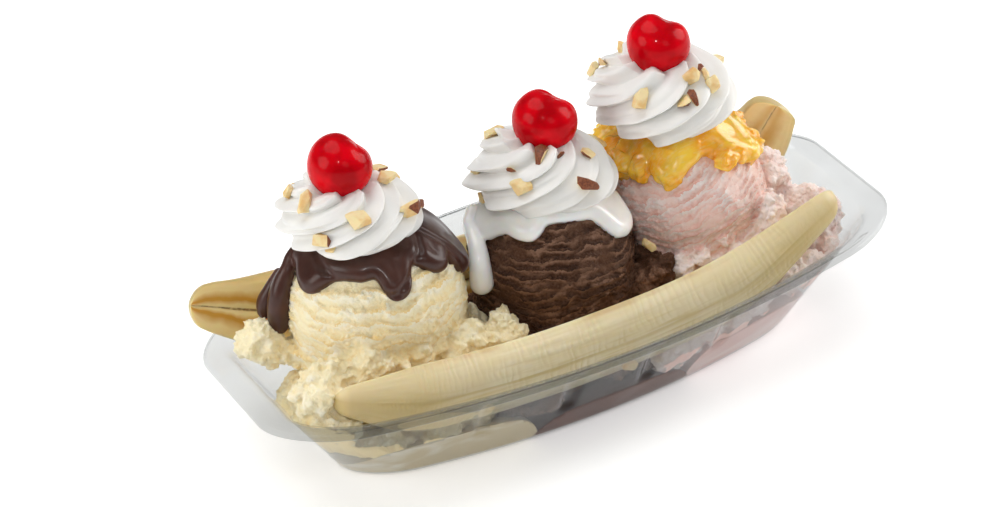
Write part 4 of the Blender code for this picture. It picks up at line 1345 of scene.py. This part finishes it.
class SPLIT_PG_sizes(bpy.types.PropertyGroup):
    """Sizes of the details."""
    wall: length_property("Dish wall", "Thickness of the formed sheet", 0.5)
    lip_drop: length_property("Lip drop", "How far the dish's lip turns down", 1.8)
    cherry_radius: length_property("Cherry radius", "Radius of a cherry", 10.4)
    sauce_depth: length_property("Sauce depth", "Thickness of a poured sauce", 2.5)
    voxel: length_property("Ice cream grain", "Finest detail of the ice cream's mesh", 0.44)
    sauce_voxel: length_property("Sauce grain", "Finest detail of the sauces' mesh", 0.38)
    lip_spacing: length_property("Tear spacing", "Distance between torn lips on a ball", 3.6)
    lip_depth: length_property("Tear depth", "How far a torn lip stands out", 1.7)
    crumb_size: length_property("Crumb size", "Width of the crumbs on a skirt", 2.6)
    crumb_depth: length_property("Crumb depth", "How rough the skirts are", 0.95)
    striation: length_property("Banana striation", "Height of the fine cross lines", 0.14)
    pleats: IntProperty(name="Pleats", description="How many pleats a rosette has",
                        default=8, min=3)
    pleat_depth: FloatProperty(name="Pleat depth", description="Its part of the radius",
                               default=0.105, min=0.0, max=0.3)
    twist: FloatProperty(name="Twist", description="How far a pleat winds from base to top",
                         default=math.radians(150), subtype='ANGLE', unit='ROTATION')
    nut_scale: FloatProperty(name="Nut scale", description="Size against the listed sizes",
                             default=1.15, min=0.1, max=3.0)


class SPLIT_PG_colours(bpy.types.PropertyGroup):
    """Colours of the finishes."""
    plastic: colour_property("Clear plastic", "Cast of the clear sheet", "E7E8E8")
    banana: colour_property("Banana", "Outside of the flesh", "C9B37D")
    banana_core: colour_property("Banana core", "Middle of the cut face", "CE9A3E")
    banana_seam: colour_property("Banana seam", "Line of seeds", "7C4F22")
    vanilla: colour_property("Vanilla", "Body of the vanilla ice cream", "FDEFC6")
    # painted shade: this colour fills low crumbs and the gaps above torn lips, and tints slow
    # drifts
    vanilla_hollow: colour_property("Vanilla pores", "Deep places of the vanilla", "F2D086")
    chocolate: colour_property("Chocolate", "Body of the chocolate ice cream", "54341F")
    # painted shade colour, as for the vanilla
    chocolate_hollow: colour_property("Chocolate pores", "Deep places of the chocolate", "26130C")
    strawberry: colour_property("Strawberry", "Body of the strawberry ice cream", "FFE0D5")
    # painted shade colour, as for the vanilla
    strawberry_hollow: colour_property("Strawberry pores", "Deep places of it", "EAA28C")
    fudge: colour_property("Chocolate sauce", "Chocolate sauce", "3C1E14")
    marshmallow: colour_property("Marshmallow sauce", "Marshmallow sauce", "F4F3EF")
    pineapple: colour_property("Pineapple", "Flesh of the pineapple", "FFD04A")
    cream: colour_property("Whipped cream", "Whipped cream", "EBEAE6")
    cherry: colour_property("Cherry", "Skin of the cherries", "DB0014")
    almond: colour_property("Almond", "Cut face of a nut", "F0DCA8")
    almond_skin: colour_property("Almond skin", "Skin of a nut", "8A4A26")
    floor: colour_property("Floor", "The pale ground", "F7F7F7")


def settings():
    """The scene's sizes and colours."""
    return bpy.context.scene.split_sizes, bpy.context.scene.split_colours


# ---- operators ------------------------------------------------------------------------------
class SPLIT_OT_dish(bpy.types.Operator):
    """Make the clear dish"""
    bl_idname = "split.make_dish"
    bl_label = "Dish"

    def execute(self, context):
        sizes, colours = settings()
        dish = make_dish(sizes.wall / MM, sizes.lip_drop / MM)
        finish_piece(dish, "dish_shell", "dish",
                     clear_pet(colours.plastic, DISH_HAZE))
        return {'FINISHED'}


class SPLIT_OT_bananas(bpy.types.Operator):
    """Make the two banana halves"""
    bl_idname = "split.make_bananas"
    bl_label = "Banana halves"

    def execute(self, context):
        sizes, colours = settings()
        flesh = banana_flesh(colours.banana, colours.banana_core, colours.banana_seam,
                             sizes.striation)
        mould = make_mould()
        for node, half, seed in (("banana_front", FRONT_BANANA, 3),
                                 ("banana_back", BACK_BANANA, 8)):
            banana = make_banana(half, seed)
            press_into(banana, mould)
            finish_piece(banana, node + "_flesh", node, flesh)
        remove(mould)
        return {'FINISHED'}


class SPLIT_OT_pools(bpy.types.Operator):
    """Make what has melted on the floor of the dish"""
    bl_idname = "split.make_pools"
    bl_label = "Melted pools"

    def execute(self, context):
        mould = make_mould()
        for seed, (node, sizes, slot, label, body, cloud, roughness) in enumerate(POOLS, 1):
            pool = take_away(make_pool(sizes, seed), mould)
            finish_piece(pool, node + "_liquid", node,
                         melted(label, srgb(body), srgb(cloud), roughness))
        remove(mould)
        return {'FINISHED'}


class SPLIT_OT_scoops(bpy.types.Operator):
    """Make the three scoops of ice cream"""
    bl_idname = "split.make_scoops"
    bl_label = "Scoops"

    def execute(self, context):
        sizes, colours = settings()
        torn = torn_tree()
        mould = make_mould(SCOOP_INTO_WALL)
        for flavour, (ball, foot, seed, crumbs, tilt, spacing, depth, *look) in SCOOPS.items():
            node = "scoop_" + flavour
            pale_and_highlight, softness, skirt_paleness, coarse = look
            material = ice_cream(
                flavour.capitalize() + " ice cream", getattr(colours, flavour),
                getattr(colours, flavour + "_hollow"), srgb(pale_and_highlight), softness, skirt_paleness, coarse)
            scoop = make_scoop(node, ball, foot, seed, crumbs, sizes.voxel / MM)
            run_tree(scoop, torn, Material=material, Centre=Vector(ball[0]) * MM,
                     Radius=ball[1] * MM, Tilt=tilt, Lip_spacing=sizes.lip_spacing * spacing,
                     Lip_depth=sizes.lip_depth * depth, Crumb_size=sizes.crumb_size,
                     Crumb_depth=sizes.crumb_depth, Grain_depth=0.0009, Seed=seed * 1.37)
            thin(take_away(scoop, mould), MOST_TRIANGLES)
            finish_piece(scoop, node + "_torn", node, material)
        remove(mould)
        return {'FINISHED'}


class SPLIT_OT_sauces(bpy.types.Operator):
    """Make the chocolate sauce, the marshmallow sauce and the pineapple"""
    bl_idname = "split.make_sauces"
    bl_label = "Sauces and fruit"

    def execute(self, context):
        sizes, colours = settings()
        voxel = sizes.sauce_voxel / MM
        depth = sizes.sauce_depth / MM
        sauce = make_sauce("sauce_chocolate", VANILLA, depth, voxel, 2)
        finish_piece(sauce, "sauce_chocolate_poured", "sauce_chocolate",
                     poured_sauce("Chocolate sauce", colours.fudge, srgb("4A281D"),
                                  0.36, 0.08, 0.12))
        white = make_sauce("sauce_marshmallow", CHOCOLATE, depth * 0.95, voxel, 4)
        finish_piece(white, "sauce_marshmallow_poured", "sauce_marshmallow",
                     poured_sauce("Marshmallow sauce", colours.marshmallow, srgb("FBFAF7"),
                                  0.22, 0.5, 0.6))
        fruit = make_pineapple(STRAWBERRY, voxel)
        finish_piece(fruit, "topping_pineapple_crushed", "topping_pineapple",
                     pineapple_in_syrup(colours.pineapple, srgb("FFAC1E"), srgb("FFE49A")))
        return {'FINISHED'}


class SPLIT_OT_creams(bpy.types.Operator):
    """Make the piped cream"""
    bl_idname = "split.make_creams"
    bl_label = "Piped cream"

    def execute(self, context):
        sizes, colours = settings()
        tree = rosette_tree()
        material = whipped_cream(colours.cream)
        for node in CREAMS:
            cream = make_cream(node, tree, material, sizes.pleat_depth, sizes.pleats, sizes.twist)
            finish_piece(cream, node + "_piped", node, material)
        return {'FINISHED'}


class SPLIT_OT_cherries(bpy.types.Operator):
    """Make the cherries"""
    bl_idname = "split.make_cherries"
    bl_label = "Cherries"

    def execute(self, context):
        sizes, colours = settings()
        material = preserved_cherry(colours.cherry, srgb("B0000C"))
        for node in CHERRIES:
            cherry = make_cherry(node, sizes.cherry_radius / MM)
            finish_piece(cherry, node + "_skin", node, material)
        return {'FINISHED'}


class SPLIT_OT_nuts(bpy.types.Operator):
    """Scatter the chopped nuts over the cream"""
    bl_idname = "split.make_nuts"
    bl_label = "Chopped nuts"

    def execute(self, context):
        sizes, colours = settings()
        almond = chopped_almond(colours.almond, colours.almond_skin)
        nuts = make_nuts(sizes.nut_scale, almond)
        finish_piece(nuts, nuts.name, None, almond)
        return {'FINISHED'}


class SPLIT_OT_stage(bpy.types.Operator):
    """Set the floor, the lights and the camera"""
    bl_idname = "split.make_stage"
    bl_label = "Stage"

    def execute(self, context):
        scene = context.scene
        corners = [(x * FLOOR_REACH, y * FLOOR_REACH, 0)
                   for x, y in ((-1, -1), (1, -1), (1, 1), (-1, 1))]
        floor = mesh_object("floor", corners, [(0, 1, 2, 3)])
        floor.data.materials.append(pale_floor(settings()[1].floor, FLOOR_GLOW))

        for name, place, size, power, tint in SOFTBOXES:
            light = bpy.data.lights.new(name, 'AREA')
            light.shape = 'DISK'
            light.energy = power
            light.size = size
            light.color = srgb(tint)
            lamp = link_object(name, light)
            lamp.location = place
            lamp.rotation_euler = (LIT - Vector(place)).to_track_quat('-Z', 'Y').to_euler()

        world = bpy.data.worlds.new("Bright room")
        world.use_nodes = True
        tree = world.node_tree
        tree.nodes.clear()
        height = parts(add(tree, "ShaderNodeTexCoord", output="Generated"))[2]
        sky = mixed(ramp(height, -0.2, 0.9, 0.0, 1.0), srgb("B4B7BC"), srgb("F4F5F7"))
        ground = add(tree, "ShaderNodeBackground", {"Color": sky, "Strength": ROOM_LIGHT})
        add(tree, "ShaderNodeOutputWorld", {"Surface": ground})
        scene.world = world

        turn, rise, roll = (math.radians(angle) for angle in CAMERA_WAY)
        away = Vector((math.sin(turn) * math.cos(rise), -math.cos(turn) * math.cos(rise),
                       math.sin(rise)))
        level = Vector((math.cos(turn), math.sin(turn), 0))
        over = away.cross(level)
        right = level * math.cos(roll) + over * math.sin(roll)
        up = over * math.cos(roll) - level * math.sin(roll)
        data = bpy.data.cameras.new("camera")
        data.lens = CAMERA_LENS
        data.sensor_width = 36
        data.clip_end = 20
        camera = link_object("camera", data)
        pose = Matrix((right, up, away)).transposed().to_4x4()
        aside, above, back = CAMERA_SHIFT
        pose.translation = right * aside + up * above + away * back
        camera.matrix_world = pose
        scene.camera = camera
        scene.view_settings.view_transform = 'Standard'
        return {'FINISHED'}


# ---- panel and registration -----------------------------------------------------------------
STEPS = (SPLIT_OT_stage, SPLIT_OT_dish, SPLIT_OT_bananas, SPLIT_OT_pools, SPLIT_OT_scoops,
         SPLIT_OT_sauces, SPLIT_OT_creams, SPLIT_OT_cherries, SPLIT_OT_nuts)


class SPLIT_PT_panel(bpy.types.Panel):
    """Sizes, colours and pieces of the banana split"""
    bl_idname = "SPLIT_PT_panel"
    bl_label = "Banana split"
    bl_space_type = 'VIEW_3D'
    bl_region_type = 'UI'
    bl_category = "Split"

    def draw(self, context):
        layout = self.layout
        for group, kind in zip(settings(), (SPLIT_PG_sizes, SPLIT_PG_colours)):
            box = layout.box()
            for name in kind.__annotations__:
                box.prop(group, name)
        for step in STEPS:
            layout.operator(step.bl_idname)


CLASSES = (SPLIT_PG_sizes, SPLIT_PG_colours, *STEPS, SPLIT_PT_panel)


def register():
    """Add the settings, operators and panel."""
    for kind in CLASSES:
        bpy.utils.register_class(kind)
    bpy.types.Scene.split_sizes = PointerProperty(type=SPLIT_PG_sizes)
    bpy.types.Scene.split_colours = PointerProperty(type=SPLIT_PG_colours)


def unregister():
    """Remove the settings, operators and panel."""
    del bpy.types.Scene.split_colours
    del bpy.types.Scene.split_sizes
    for kind in reversed(CLASSES):
        bpy.utils.unregister_class(kind)


def main():
    """Make every piece in turn."""
    register()
    for step in STEPS:
        group, name = step.bl_idname.split(".")
        getattr(getattr(bpy.ops, group), name)()
    bpy.context.view_layer.update()


if __name__ == "__main__":
    main()
